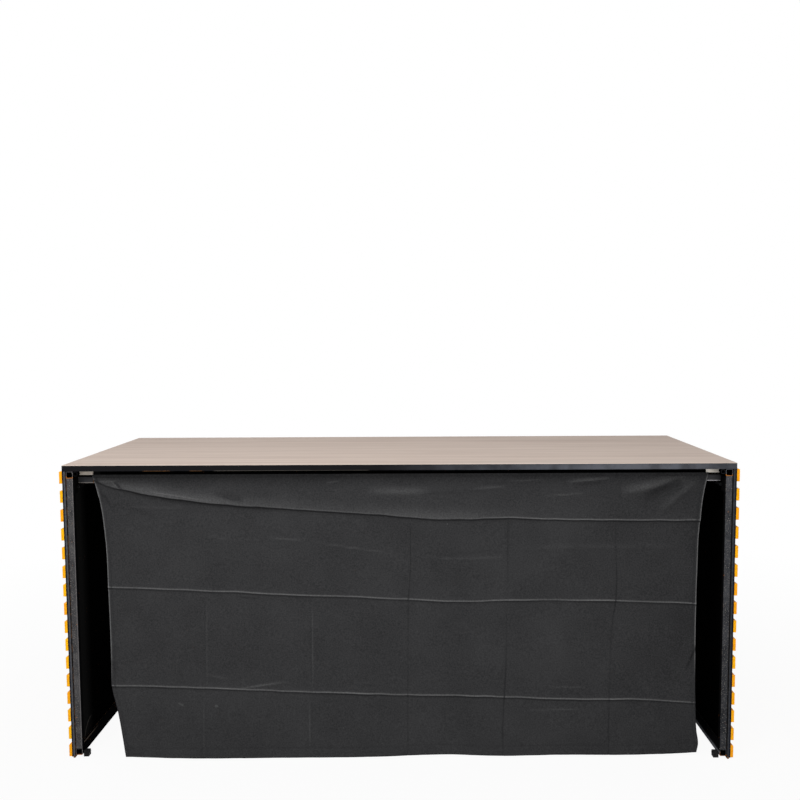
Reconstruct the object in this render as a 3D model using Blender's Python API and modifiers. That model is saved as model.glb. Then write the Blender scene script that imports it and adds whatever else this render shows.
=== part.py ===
# Folding buffet table with slatted side frames and a hanging cloth.
# Metres, +Z up, origin on the floor under the middle of the top.
# +X runs along the top, -Y is the side on which the cloth hangs.

import math

import bmesh
import bpy
from mathutils import Matrix, Vector

# Table top
TOP_LENGTH = 2.000
TOP_DEPTH = 0.800
TABLE_HEIGHT = 0.900
PLY_THICKNESS = 0.0170
LAMINATE_THICKNESS = 0.0007
PLY_EDGE_ROUND = 0.0010

# Gap kept between separate pieces that touch
GAP = 0.0003

# Square steel tube of the side frames and cross tubes
TUBE_SIZE = 0.020
TUBE_WALL = 0.0015
TUBE_ROUND = 0.0025

# Layers of a side panel, from the tube outwards
MOUNT_TAPE_THICKNESS = 0.0024
MOUNT_TAPE_WIDTH = 0.014
SIDE_BOARD_THICKNESS = 0.0052
BACKING_THICKNESS = 0.0042
BACKING_LIFT = 0.0030
SLAT_THICKNESS = 0.0090
SLAT_HEIGHT = 0.036
SLAT_COUNT = 16
SLAT_LIFT = 0.0040
SLAT_TOP_GAP = 0.0005
SLAT_RUN_SAG = 0.0070

# Bottom of the side frames
BOTTOM_RAIL_LIFT = 0.009
FOOT_WIDTH = 0.016
FOOT_DEPTH = 0.020
FOOT_HEIGHT = 0.018
FOOT_SETBACK = 0.008
FOOT_ROUND = 0.0008

# Cross tubes under the top, with welded tabs and plywood blocks over their ends
CROSS_TUBE_SETBACK = 0.045
CROSS_TUBE_END_GAP = 0.0010
BLOCK_HEIGHT = 0.0162
BLOCK_LENGTH = 0.044
BLOCK_EDGE_ROUND = 0.0006
TAB_THICKNESS = 0.0048
TAB_INSET = 0.003

# Black batten that closes the gap between the top and the front cross tube
BATTEN_SETBACK = 0.004
BATTEN_EDGE_ROUND = 0.0008

# Barrel pivots of the side frames
BARREL_RADIUS = 0.0055
BARREL_BITE = 0.0005
SADDLE_HEIGHT = 0.0065
PIN_RADIUS = 0.0030
PIN_CLEARANCE = 0.0003
PIN_HEAD_RADIUS = 0.0046
PIN_HEAD_HEIGHT = 0.0020
LEAF_THICKNESS = 0.0025
LEAF_ABOVE_PIVOT = 0.0238
LEAF_BELOW_PIVOT = 0.0200
LEAF_SETBACK = 0.003
LEAF_BARREL_LENGTH = 0.014
LEAF_TO_CROSS_TUBE = 0.0085

# Stop sleeves in the corners under the top
SLEEVE_RADIUS = 0.0075
SLEEVE_BORE_RADIUS = 0.0048
SLEEVE_LENGTH = 0.020

# Knee stays between the rear cross tube and the rear posts
STAY_REACH = 0.100
STAY_DROP = 0.100
STAY_WIDTH = 0.014
STAY_THICKNESS = 0.0028
STAY_LUG_HEIGHT = 0.030
STAY_LUG_THICKNESS = 0.003
RIVET_RADIUS = 0.0028
RIVET_HEAD_RADIUS = 0.0045
RIVET_HEAD_HEIGHT = 0.0010
RIVET_TAIL = 0.0030

# Screws
SCREW_RADIUS = 0.0020
SCREW_CLEARANCE = 0.0003
SCREW_HEAD_RADIUS = 0.0042
SCREW_HEAD_HEIGHT = 0.0022
TUBE_SCREW_BITE = 0.0120
FOOT_SCREW_TAIL = 0.0040

# Hook tape on the front cross tube, and the cloth that hangs on it
HOOK_TAPE_HEIGHT = 0.016
HOOK_TAPE_THICKNESS = 0.0018
HOOK_TAPE_INSET = 0.002
CLOTH_THICKNESS = 0.0012
CLOTH_END_GAP = 0.0463
CLOTH_SHIFT = -0.003
CLOTH_OVERLAP = 0.006
CLOTH_HEM_LIFT = 0.006
CLOTH_HEM_SWAY = 0.008
CLOTH_FORWARD = 0.030
CLOTH_LEFT_DRAW = 0.048
CLOTH_LEFT_HEM_DRAW = 0.045
CLOTH_RIGHT_DRAW = 0.026
CLOTH_CREASE_SPACING = 0.290
CLOTH_CREASE_DEPTH = 0.0035
CLOTH_FOLD_DEPTH = 0.0060
CLOTH_COLUMNS = 36
CLOTH_ROWS = 15

# Levels and places worked out from the sizes above
HALF_LENGTH = TOP_LENGTH / 2
HALF_DEPTH = TOP_DEPTH / 2
TOP_UNDERSIDE = TABLE_HEIGHT - LAMINATE_THICKNESS - GAP - PLY_THICKNESS
FRAME_TOP = TOP_UNDERSIDE - GAP
BACKING_INNER = HALF_LENGTH - BACKING_THICKNESS
BOARD_OUTER = BACKING_INNER - GAP
BOARD_INNER = BOARD_OUTER - SIDE_BOARD_THICKNESS
TAPE_OUTER = BOARD_INNER - GAP
TAPE_INNER = TAPE_OUTER - MOUNT_TAPE_THICKNESS
TUBE_OUTER = TAPE_INNER - GAP
TUBE_INNER = TUBE_OUTER - TUBE_SIZE
SLAT_TOP = TOP_UNDERSIDE - SLAT_TOP_GAP
SLAT_PITCH = (SLAT_TOP - SLAT_LIFT - SLAT_HEIGHT) / (SLAT_COUNT - 1)
BOTTOM_RAIL_TOP = BOTTOM_RAIL_LIFT + TUBE_SIZE
TOP_RAIL_BOTTOM = FRAME_TOP - TUBE_SIZE
BLOCK_TOP = TOP_UNDERSIDE - GAP
BLOCK_BOTTOM = BLOCK_TOP - BLOCK_HEIGHT
TAB_TOP = BLOCK_BOTTOM - GAP
CROSS_TOP = TAB_TOP - TAB_THICKNESS
CROSS_BOTTOM = CROSS_TOP - TUBE_SIZE
CROSS_MIDDLE = (CROSS_TOP + CROSS_BOTTOM) / 2
CROSS_END = TUBE_INNER - CROSS_TUBE_END_GAP
CROSS_FACE = HALF_DEPTH - CROSS_TUBE_SETBACK
CROSS_FAR_FACE = CROSS_FACE - TUBE_SIZE
CLOTH_WIDTH = 2 * (CROSS_END - CLOTH_END_GAP)
HOOK_TAPE_LENGTH = CLOTH_WIDTH - 2 * HOOK_TAPE_INSET
PIVOT_X = TUBE_INNER - LEAF_THICKNESS + BARREL_BITE - BARREL_RADIUS
PIVOT_Z = CROSS_BOTTOM - SADDLE_HEIGHT
LEAF_INNER_END = CROSS_FACE + LEAF_TO_CROSS_TUBE
LEAF_OUTER_END = HALF_DEPTH - LEAF_SETBACK
STAY_TOP_X = PIVOT_X - STAY_REACH
STAY_FOOT_Z = PIVOT_Z - STAY_DROP
STAY_UPPER_NEAR = CROSS_FACE + GAP
STAY_UPPER_FAR = STAY_UPPER_NEAR + STAY_THICKNESS
STAY_LOWER_NEAR = STAY_UPPER_FAR + GAP
STAY_LOWER_FAR = STAY_LOWER_NEAR + STAY_THICKNESS
STAY_LUG_NEAR = STAY_LOWER_FAR + GAP
HOOK_TAPE_BACK = CROSS_FACE + GAP
HOOK_TAPE_FRONT = HOOK_TAPE_BACK + HOOK_TAPE_THICKNESS
CLOTH_BACK = HOOK_TAPE_FRONT + GAP
CLOTH_TOP = CROSS_TOP + CLOTH_OVERLAP
CLOTH_TAPED = (CLOTH_OVERLAP + TUBE_SIZE / 2 + HOOK_TAPE_HEIGHT / 2) / CLOTH_TOP

ENDS = (("front", -1), ("rear", 1))
SIDES = (("left", -1), ("right", 1))
ROUND_SIDES = 16
SCREW_SIDES = 10
AXIS_TURN = {
    "X": Matrix.Rotation(math.pi / 2, 4, "Y"),
    "Y": Matrix.Rotation(math.pi / 2, 4, "X"),
    "Z": Matrix.Identity(4),
}


def clear_scene():
    for old in list(bpy.data.objects):
        bpy.data.objects.remove(old, do_unlink=True)


def make_collection(name):
    collection = bpy.data.collections.new(name)
    bpy.context.scene.collection.children.link(collection)
    return collection


def make_material(name, colour, roughness, metallic=0.0):
    material = bpy.data.materials.new(name)
    material.use_nodes = True
    shader = material.node_tree.nodes["Principled BSDF"]
    shader.inputs["Base Color"].default_value = (*colour, 1.0)
    shader.inputs["Roughness"].default_value = roughness
    shader.inputs["Metallic"].default_value = metallic
    material.diffuse_color = (*colour, 1.0)
    return material


def place_under(item, place, parent):
    # Puts an item at a place in the world, under an empty that isn't turned.
    item.location = Vector(place)
    if parent is not None:
        item.parent = parent
        item.location -= Vector(parent["world_place"])


def make_empty(name, place, parent=None):
    empty = bpy.data.objects.new(name, None)
    empty.empty_display_size = 0.03
    empty["world_place"] = place
    parts.objects.link(empty)
    place_under(empty, place, parent)
    return empty


def finish_object(name, shape, material, parent=None, collection=None):
    low = Vector([min(v.co[i] for v in shape.verts) for i in range(3)])
    high = Vector([max(v.co[i] for v in shape.verts) for i in range(3)])
    centre = (low + high) / 2
    bmesh.ops.translate(shape, verts=shape.verts, vec=-centre)
    mesh = bpy.data.meshes.new(name)
    shape.to_mesh(mesh)
    shape.free()
    piece = bpy.data.objects.new(name, mesh)
    (collection or parts).objects.link(piece)
    if material is not None:
        mesh.materials.append(material)
    place_under(piece, centre, parent)
    return piece


def add_box(shape, spans):
    low = Vector([min(span) for span in spans])
    high = Vector([max(span) for span in spans])
    place = Matrix.Translation((low + high) / 2) @ Matrix.Diagonal((*(high - low), 1.0))
    bmesh.ops.create_cube(shape, size=1.0, matrix=place)


def add_rod(shape, axis, centre, ends, radius, sides=ROUND_SIDES):
    # The centre gives the two coordinates across the axis, and the ends those along it.
    middle = list(centre)
    middle.insert("XYZ".index(axis), (ends[0] + ends[1]) / 2)
    bmesh.ops.create_cone(
        shape,
        cap_ends=True,
        segments=sides,
        radius1=radius,
        radius2=radius,
        depth=abs(ends[1] - ends[0]),
        matrix=Matrix.Translation(middle) @ AXIS_TURN[axis],
    )


def round_edges(piece, width, segments=1):
    bevel = piece.modifiers.new("Rounded edges", "BEVEL")
    bevel.width = width
    bevel.segments = segments
    bevel.limit_method = "ANGLE"


def box(name, spans, material, parent=None, rounding=0.0):
    shape = bmesh.new()
    add_box(shape, spans)
    piece = finish_object(name, shape, material, parent)
    if rounding > 0:
        round_edges(piece, rounding)
    return piece


def square_tube(name, axis, spans, material, parent=None):
    # An open sleeve with rounded corners, thickened inwards to the tube's wall.
    shape = bmesh.new()
    add_box(shape, spans)
    shape.normal_update()
    index = "XYZ".index(axis)
    ends = [face for face in shape.faces if abs(face.normal[index]) > 0.9]
    bmesh.ops.delete(shape, geom=ends, context="FACES_ONLY")
    piece = finish_object(name, shape, material, parent)
    round_edges(piece, TUBE_ROUND, 2)
    wall = piece.modifiers.new("Wall", "SOLIDIFY")
    wall.thickness = TUBE_WALL
    wall.offset = -1.0
    wall.use_even_offset = True
    return piece


def turned(name, profile, place, direction, steps, material, parent=None, ring=False):
    # A profile of radius and height turned about its axis, which is then pointed in a direction.
    count = len(profile)
    edges = [(i, i + 1) for i in range(count - 1)]
    if ring:
        edges.append((count - 1, 0))
    mesh = bpy.data.meshes.new(name)
    mesh.from_pydata([(radius, 0.0, height) for radius, height in profile], edges, [])
    mesh.materials.append(material)
    piece = bpy.data.objects.new(name, mesh)
    parts.objects.link(piece)
    turn = piece.modifiers.new("Turned", "SCREW")
    turn.steps = steps
    turn.render_steps = steps
    turn.use_merge_vertices = True
    turn.merge_threshold = 0.00001
    piece.rotation_euler = Vector((0, 0, 1)).rotation_difference(Vector(direction)).to_euler()
    place_under(piece, place, parent)
    return piece


def headed_pin(name, seat, direction, length, radius, head_radius, head_height, steps, material, parent=None):
    # The direction points out of the head, and the shank runs the other way from its seat.
    profile = [
        (0.0, head_height),
        (head_radius, head_height),
        (head_radius, 0.0),
        (radius, 0.0),
        (radius, -length),
        (0.0, -length),
    ]
    return turned(name, profile, seat, direction, steps, material, parent)


def screw(name, seat, direction, length, parent=None):
    sizes = (SCREW_RADIUS, SCREW_HEAD_RADIUS, SCREW_HEAD_HEIGHT, SCREW_SIDES)
    return headed_pin(name, seat, direction, length, *sizes, zinc, parent)


def cutter(name, shape, parent=None):
    tool = finish_object(name, shape, None, parent, cutters)
    tool.hide_render = True
    tool.display_type = "WIRE"
    return tool


def apply_tool(piece, tool, operation):
    boolean = piece.modifiers.new(tool.name, "BOOLEAN")
    boolean.operation = operation
    boolean.solver = "EXACT"
    boolean.object = tool


def cut_rod(piece, name, axis, centre, ends, radius, parent=None, sides=ROUND_SIDES):
    shape = bmesh.new()
    add_rod(shape, axis, centre, ends, radius, sides)
    apply_tool(piece, cutter(name, shape, parent), "DIFFERENCE")


def join_rod(piece, name, axis, centre, ends, radius, parent=None):
    shape = bmesh.new()
    add_rod(shape, axis, centre, ends, radius)
    apply_tool(piece, cutter(name, shape, parent), "UNION")


def use_box(piece, name, spans, operation, parent=None):
    shape = bmesh.new()
    add_box(shape, spans)
    apply_tool(piece, cutter(name, shape, parent), operation)


def cut_screw_hole(piece, name, axis, centre, ends, parent=None):
    cut_rod(piece, name, axis, centre, ends, SCREW_RADIUS + SCREW_CLEARANCE, parent, SCREW_SIDES)


def mirrored(span, side):
    return (side * span[0], side * span[1])


def build_top():
    x_span = (-HALF_LENGTH, HALF_LENGTH)
    y_span = (-HALF_DEPTH, HALF_DEPTH)
    ply_top = TOP_UNDERSIDE + PLY_THICKNESS
    board = box("top_board", (x_span, y_span, (TOP_UNDERSIDE, ply_top)), edge_black, None, PLY_EDGE_ROUND)
    box("top_laminate", (x_span, y_span, (ply_top + GAP, TABLE_HEIGHT)), laminate_taupe)
    outer_y = CROSS_FACE - TUBE_SIZE / 2
    for row, y in (("front", -outer_y), ("middle", 0.0), ("rear", outer_y)):
        build_cross_tube(row, y, board)


def build_cross_tube(row, y, board):
    half = TUBE_SIZE / 2
    y_span = (y - half, y + half)
    tube_spans = ((-CROSS_END, CROSS_END), y_span, (CROSS_BOTTOM, CROSS_TOP))
    tube = square_tube(row + "_cross_tube", "X", tube_spans, steel_black)
    for side_name, side in SIDES:
        name = f"{side_name}_{row}"
        x = side * (CROSS_END - BLOCK_LENGTH / 2)
        x_span = mirrored((CROSS_END - BLOCK_LENGTH, CROSS_END), side)
        block_spans = (x_span, y_span, (BLOCK_BOTTOM, BLOCK_TOP))
        block = box(name + "_block", block_spans, plywood, None, BLOCK_EDGE_ROUND)
        tab_x = mirrored((CROSS_END - BLOCK_LENGTH, CROSS_END - TAB_INSET), side)
        tab_y = (y_span[0] + TAB_INSET, y_span[1] - TAB_INSET)
        use_box(tube, name + "_tab", (tab_x, tab_y, (CROSS_TOP - TUBE_WALL / 2, TAB_TOP)), "UNION")
        seat = CROSS_BOTTOM - GAP
        tip = TOP_UNDERSIDE + TUBE_SCREW_BITE
        hole = (seat - SCREW_HEAD_HEIGHT, tip + SCREW_CLEARANCE)
        for piece, kind in ((tube, "tube"), (block, "block"), (board, "board")):
            cut_screw_hole(piece, f"{name}_{kind}_screw_hole", "Z", (x, y), hole)
        screw(name + "_tube_screw", (x, y, seat), (0, 0, -1), tip - seat)
        if row != "middle":
            build_top_barrel(name, side, 1 if y > 0 else -1)
        if row == "rear":
            rivet_hole = (STAY_TOP_X * side, CROSS_MIDDLE)
            ends = (y, CROSS_FACE + TUBE_WALL)
            cut_rod(tube, name + "_stay_hole", "Y", rivet_hole, ends, RIVET_RADIUS + PIN_CLEARANCE)


def build_top_barrel(name, side, end):
    # A barrel with a flat saddle under the end of an outer tube, bored for the pivot pin.
    x = side * PIVOT_X
    saddle_x = (x - BARREL_RADIUS + TAB_INSET / 2, x + BARREL_RADIUS - TAB_INSET / 2)
    saddle_y = mirrored((CROSS_FAR_FACE + TAB_INSET, CROSS_FACE - TAB_INSET), end)
    saddle_z = (PIVOT_Z, CROSS_BOTTOM - GAP)
    barrel = box(name + "_pivot_barrel", (saddle_x, saddle_y, saddle_z), steel_black)
    barrel_y = mirrored((CROSS_FAR_FACE, LEAF_INNER_END - GAP), end)
    join_rod(barrel, name + "_top_barrel", "Y", (x, PIVOT_Z), barrel_y, BARREL_RADIUS)
    bore_y = mirrored((CROSS_FAR_FACE - TUBE_SIZE, HALF_DEPTH), end)
    cut_rod(barrel, name + "_top_bore", "Y", (x, PIVOT_Z), bore_y, PIN_RADIUS + PIN_CLEARANCE)


def build_batten():
    end = CROSS_END - BLOCK_LENGTH - GAP
    y_span = (-CROSS_FACE + BATTEN_SETBACK, -CROSS_FAR_FACE)
    z_span = (CROSS_TOP + GAP, TOP_UNDERSIDE - GAP)
    box("front_batten", ((-end, end), y_span, z_span), edge_black, None, BATTEN_EDGE_ROUND)


def build_stop_sleeves():
    profile = [
        (SLEEVE_RADIUS, SLEEVE_LENGTH),
        (SLEEVE_RADIUS, 0.0),
        (SLEEVE_BORE_RADIUS, 0.0),
        (SLEEVE_BORE_RADIUS, SLEEVE_LENGTH),
    ]
    x = TUBE_INNER - GAP - SLEEVE_RADIUS
    z = TOP_UNDERSIDE - GAP - SLEEVE_RADIUS
    for side_name, side in SIDES:
        for row, end in ENDS:
            name = f"{side_name}_{row}_stop_sleeve"
            place = (side * x, end * (HALF_DEPTH - GAP - SLEEVE_LENGTH), z)
            turned(name, profile, place, (0, end, 0), ROUND_SIDES, steel_worn, None, True)


def build_hook_tape():
    half = HOOK_TAPE_LENGTH / 2
    x_span = (CLOTH_SHIFT - half, CLOTH_SHIFT + half)
    z_span = (CROSS_MIDDLE - HOOK_TAPE_HEIGHT / 2, CROSS_MIDDLE + HOOK_TAPE_HEIGHT / 2)
    box("hook_tape", (x_span, (-HOOK_TAPE_FRONT, -HOOK_TAPE_BACK), z_span), tape_black)


def ease(value):
    value = min(max(value, 0.0), 1.0)
    return value * value * (3 - 2 * value)


def cloth_point(across, down):
    # The side edges draw in below the pinned corners, and the lower left corner swings in further.
    # Storage creases stand forward both ways, and slack gathers in a sagging fold under the top.
    half = CLOTH_WIDTH / 2
    left = -half + CLOTH_LEFT_DRAW * ease(down / 0.35) + CLOTH_LEFT_HEM_DRAW * ease((down - 0.75) / 0.25)
    right = half - CLOTH_RIGHT_DRAW * ease(down / 0.25)
    x = left + (right - left) * across + CLOTH_SHIFT
    hem = CLOTH_HEM_LIFT + CLOTH_HEM_SWAY * across * ease(across)
    z = CLOTH_TOP - (CLOTH_TOP - hem) * down
    free = ease((down - CLOTH_TAPED) / 0.15)
    upright = CLOTH_CREASE_DEPTH * (1 - abs(math.sin(math.pi * x / CLOTH_CREASE_SPACING)))
    swag_height = 0.10 + 0.09 * math.sin(math.pi * across / 2)
    lines = ((swag_height, 1.0), (0.40, 0.45), (0.75, 0.35))
    level = sum(weight * math.exp(-(((down - height) / 0.055) ** 2)) for height, weight in lines)
    bulge = (upright + CLOTH_FOLD_DEPTH * level) * free
    lean = (CLOTH_FORWARD - CLOTH_FOLD_DEPTH) * max(down - CLOTH_TAPED, 0.0)
    y = -CLOTH_BACK - CLOTH_THICKNESS / 2 - lean - bulge
    return Vector((x, y, z))


def build_cloth():
    shape = bmesh.new()
    grid = bmesh.ops.create_grid(shape, x_segments=CLOTH_COLUMNS, y_segments=CLOTH_ROWS, size=0.5)
    for vert in grid["verts"]:
        vert.co = cloth_point(vert.co.x + 0.5, 0.5 - vert.co.y)
    cloth = finish_object("cloth", shape, cloth_charcoal)
    thickness = cloth.modifiers.new("Thickness", "SOLIDIFY")
    thickness.thickness = CLOTH_THICKNESS
    thickness.offset = 0.0
    cloth.data.shade_smooth()


def build_side(side_name, side):
    axis = make_empty(side_name + "_fold_axis", (side * PIVOT_X, 0.0, PIVOT_Z))
    tube_x = mirrored((TUBE_INNER, TUBE_OUTER), side)
    full_y = (-HALF_DEPTH, HALF_DEPTH)
    top_z = (TOP_RAIL_BOTTOM, FRAME_TOP)
    bottom_z = (BOTTOM_RAIL_LIFT, BOTTOM_RAIL_TOP)
    square_tube(side_name + "_top_rail", "Y", (tube_x, full_y, top_z), steel_black, axis)
    bottom_rail = square_tube(side_name + "_bottom_rail", "Y", (tube_x, full_y, bottom_z), steel_black, axis)
    post_z = (BOTTOM_RAIL_TOP + GAP, TOP_RAIL_BOTTOM - GAP)
    half = TUBE_SIZE / 2
    square_tube(side_name + "_middle_post", "Z", (tube_x, (-half, half), post_z), steel_black, axis)
    for row, end in ENDS:
        name = f"{side_name}_{row}"
        post_y = mirrored((HALF_DEPTH - TUBE_SIZE, HALF_DEPTH), end)
        post = square_tube(name + "_post", "Z", (tube_x, post_y, post_z), steel_black, axis)
        weld_pivot_leaf(post, name, side, end, axis)
        if row == "rear":
            weld_stay_lug(post, name, side, axis)
        build_pivot_pin(name, side, end, axis)
        build_foot(name, side, end, bottom_rail, axis)
    build_side_panel(side_name, side, post_z, axis)
    build_stay(side_name, side)


def weld_pivot_leaf(post, name, side, end, axis):
    # A plate on the post's inner face, with a barrel in line with the one under the cross tube.
    x = side * PIVOT_X
    plate_x = mirrored((TUBE_INNER - LEAF_THICKNESS, TUBE_INNER + TUBE_WALL / 2), side)
    plate_y = mirrored((LEAF_INNER_END, LEAF_OUTER_END), end)
    plate_z = (PIVOT_Z - LEAF_BELOW_PIVOT, PIVOT_Z + LEAF_ABOVE_PIVOT)
    use_box(post, name + "_leaf", (plate_x, plate_y, plate_z), "UNION", axis)
    barrel_y = mirrored((LEAF_INNER_END, LEAF_INNER_END + LEAF_BARREL_LENGTH), end)
    join_rod(post, name + "_leaf_barrel", "Y", (x, PIVOT_Z), barrel_y, BARREL_RADIUS, axis)
    bore_y = mirrored((CROSS_FACE, HALF_DEPTH + TUBE_SIZE), end)
    cut_rod(post, name + "_leaf_bore", "Y", (x, PIVOT_Z), bore_y, PIN_RADIUS + PIN_CLEARANCE, axis)


def build_pivot_pin(name, side, end, axis):
    seat = LEAF_INNER_END + LEAF_BARREL_LENGTH + GAP
    sizes = (PIN_RADIUS, PIN_HEAD_RADIUS, PIN_HEAD_HEIGHT, ROUND_SIDES)
    place = (side * PIVOT_X, end * seat, PIVOT_Z)
    headed_pin(name + "_pivot_pin", place, (0, end, 0), seat - CROSS_FAR_FACE, *sizes, zinc, axis)


def weld_stay_lug(post, name, side, axis):
    # An angle on the rear post: its base lies on the post and its fin stands beside the lower link.
    z_span = (STAY_FOOT_Z - STAY_LUG_HEIGHT / 2, STAY_FOOT_Z + STAY_LUG_HEIGHT / 2)
    base_x = mirrored((TUBE_INNER - LEAF_THICKNESS, TUBE_INNER + TUBE_WALL / 2), side)
    use_box(post, name + "_lug_base", (base_x, (STAY_LUG_NEAR, LEAF_OUTER_END), z_span), "UNION", axis)
    fin_x = mirrored((PIVOT_X - STAY_WIDTH / 2, TUBE_INNER - LEAF_THICKNESS / 2), side)
    fin_y = (STAY_LUG_NEAR, STAY_LUG_NEAR + STAY_LUG_THICKNESS)
    use_box(post, name + "_lug_fin", (fin_x, fin_y, z_span), "UNION", axis)


def build_foot(name, side, end, bottom_rail, axis):
    inner_face = TUBE_INNER - GAP - FOOT_WIDTH
    outer_y = HALF_DEPTH - FOOT_SETBACK
    foot_y = mirrored((outer_y - FOOT_DEPTH, outer_y), end)
    foot_x = mirrored((inner_face, TUBE_INNER - GAP), side)
    foot = box(name + "_foot", (foot_x, foot_y, (0.0, FOOT_HEIGHT)), rubber_black, axis, FOOT_ROUND)
    # The screw stands half way up the height that foot and rail share.
    y = sum(foot_y) / 2
    z = (BOTTOM_RAIL_LIFT + FOOT_HEIGHT) / 2
    seat = inner_face - GAP
    tip = TUBE_INNER + TUBE_WALL + FOOT_SCREW_TAIL
    hole = mirrored((seat - SCREW_HEAD_HEIGHT, tip + SCREW_CLEARANCE), side)
    for piece, kind in ((foot, "foot"), (bottom_rail, "rail")):
        cut_screw_hole(piece, f"{name}_{kind}_screw_hole", "X", (y, z), hole, axis)
    screw(name + "_foot_screw", (side * seat, y, z), (-side, 0, 0), tip - seat, axis)


def build_side_panel(side_name, side, post_z, axis):
    # Bonding tape on the frame, the side board on the tape, and the slats on a felted backing.
    full_y = (-HALF_DEPTH, HALF_DEPTH)
    tape_x = mirrored((TAPE_INNER, TAPE_OUTER), side)
    margin = (TUBE_SIZE - MOUNT_TAPE_WIDTH) / 2
    tape_y = (-HALF_DEPTH + margin, HALF_DEPTH - margin)
    tape_z = (BOTTOM_RAIL_LIFT + margin, FRAME_TOP - margin)
    tape = box(side_name + "_mount_tape", (tape_x, tape_y, tape_z), tape_black, axis)
    window_x = mirrored((TUBE_INNER, BOARD_OUTER), side)
    window_z = (tape_z[0] + MOUNT_TAPE_WIDTH, tape_z[1] - MOUNT_TAPE_WIDTH)
    for row, end in ENDS:
        window_y = mirrored((MOUNT_TAPE_WIDTH / 2, tape_y[1] - MOUNT_TAPE_WIDTH), end)
        use_box(tape, f"{side_name}_{row}_tape_window", (window_x, window_y, window_z), "DIFFERENCE", axis)
    board_x = mirrored((BOARD_INNER, BOARD_OUTER), side)
    box(side_name + "_board", (board_x, full_y, (0.0, FRAME_TOP)), board_grey, axis)
    backing_x = mirrored((BACKING_INNER, HALF_LENGTH), side)
    panel = box(side_name + "_slat_panel", (backing_x, full_y, (BACKING_LIFT, FRAME_TOP)), pine_orange, axis)
    # Each slat is let a little into the backing that it is glued to. The gaps narrow towards the floor.
    slat_x = mirrored((HALF_LENGTH - BACKING_THICKNESS / 2, HALF_LENGTH + SLAT_THICKNESS), side)
    slats = bmesh.new()
    for row in range(SLAT_COUNT):
        sag = SLAT_RUN_SAG * math.sin(math.pi * row / (SLAT_COUNT - 1))
        bottom = SLAT_LIFT + row * SLAT_PITCH - sag
        add_box(slats, (slat_x, full_y, (bottom, bottom + SLAT_HEIGHT)))
    apply_tool(panel, cutter(side_name + "_slats", slats, axis), "UNION")


def add_link(shape, start, end, near, far):
    # A flat bar with round ends: a disc whose far half is moved along to the other rivet.
    run = Vector((end[0] - start[0], 0.0, end[1] - start[1]))
    turn = Matrix.Rotation(math.atan2(-run.z, run.x), 4, "Y")
    half_step = Matrix.Rotation(math.pi / ROUND_SIDES, 4, "Z")
    place = Matrix.Translation((start[0], (near + far) / 2, start[1])) @ turn @ AXIS_TURN["Y"] @ half_step
    made = bmesh.ops.create_cone(
        shape,
        cap_ends=True,
        segments=ROUND_SIDES,
        radius1=STAY_WIDTH / 2,
        radius2=STAY_WIDTH / 2,
        depth=far - near,
        matrix=place,
    )
    origin = Vector((start[0], 0.0, start[1]))
    for vert in made["verts"]:
        if (vert.co - origin).dot(run) > 0:
            vert.co += run


def build_stay(side_name, side):
    # Two flat links, straight while the table stands, that fold at the knee towards the pivot.
    top = (side * STAY_TOP_X, CROSS_MIDDLE)
    foot = (side * PIVOT_X, STAY_FOOT_Z)
    knee = ((top[0] + foot[0]) / 2, (top[1] + foot[1]) / 2)
    upper_axis = make_empty(side_name + "_stay_upper_axis", (top[0], CROSS_FACE, top[1]))
    lower_axis = make_empty(side_name + "_stay_lower_axis", (knee[0], CROSS_FACE, knee[1]), upper_axis)
    shape = bmesh.new()
    add_link(shape, top, knee, STAY_UPPER_NEAR, STAY_UPPER_FAR)
    upper = finish_object(side_name + "_stay_upper", shape, steel_black, upper_axis)
    middle = (STAY_UPPER_NEAR + STAY_UPPER_FAR) / 2
    tail = (CROSS_FACE - TUBE_WALL - RIVET_TAIL, middle)
    join_rod(upper, side_name + "_stay_top_rivet", "Y", top, tail, RIVET_RADIUS, upper_axis)
    head = (STAY_LOWER_FAR + GAP, STAY_LOWER_FAR + GAP + RIVET_HEAD_HEIGHT)
    knee_shank = (middle, sum(head) / 2)
    join_rod(upper, side_name + "_stay_knee_rivet", "Y", knee, knee_shank, RIVET_RADIUS, upper_axis)
    join_rod(upper, side_name + "_stay_knee_head", "Y", knee, head, RIVET_HEAD_RADIUS, upper_axis)
    shape = bmesh.new()
    add_link(shape, knee, foot, STAY_LOWER_NEAR, STAY_LOWER_FAR)
    lower = finish_object(side_name + "_stay_lower", shape, steel_black, lower_axis)
    hole = (STAY_UPPER_NEAR, head[1])
    cut_rod(lower, side_name + "_stay_knee_hole", "Y", knee, hole, RIVET_RADIUS + PIN_CLEARANCE, lower_axis)
    foot_head = (STAY_LOWER_NEAR - RIVET_HEAD_HEIGHT, (STAY_LOWER_NEAR + STAY_LOWER_FAR) / 2)
    join_rod(lower, side_name + "_stay_foot_rivet", "Y", foot, foot_head, RIVET_HEAD_RADIUS, lower_axis)


clear_scene()
parts = make_collection("folding_buffet_table")
cutters = make_collection("cutters")

laminate_taupe = make_material("Taupe laminate", (0.552, 0.468, 0.402), 0.45)
edge_black = make_material("Black painted plywood", (0.018, 0.018, 0.020), 0.55)
steel_black = make_material("Black painted steel tube", (0.022, 0.022, 0.024), 0.45, 0.3)
steel_worn = make_material("Worn steel", (0.055, 0.050, 0.048), 0.50, 0.6)
plywood = make_material("Bare plywood", (0.560, 0.430, 0.300), 0.65)
rubber_black = make_material("Black rubber", (0.012, 0.012, 0.013), 0.75)
zinc = make_material("Zinc plated steel", (0.480, 0.480, 0.490), 0.35, 0.9)
tape_black = make_material("Black tape", (0.010, 0.010, 0.011), 0.85)
board_grey = make_material("Dark grey board", (0.075, 0.075, 0.078), 0.60)
pine_orange = make_material("Orange stained pine", (0.800, 0.400, 0.060), 0.50)
cloth_charcoal = make_material("Charcoal cloth", (0.028, 0.028, 0.031), 0.90)

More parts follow.
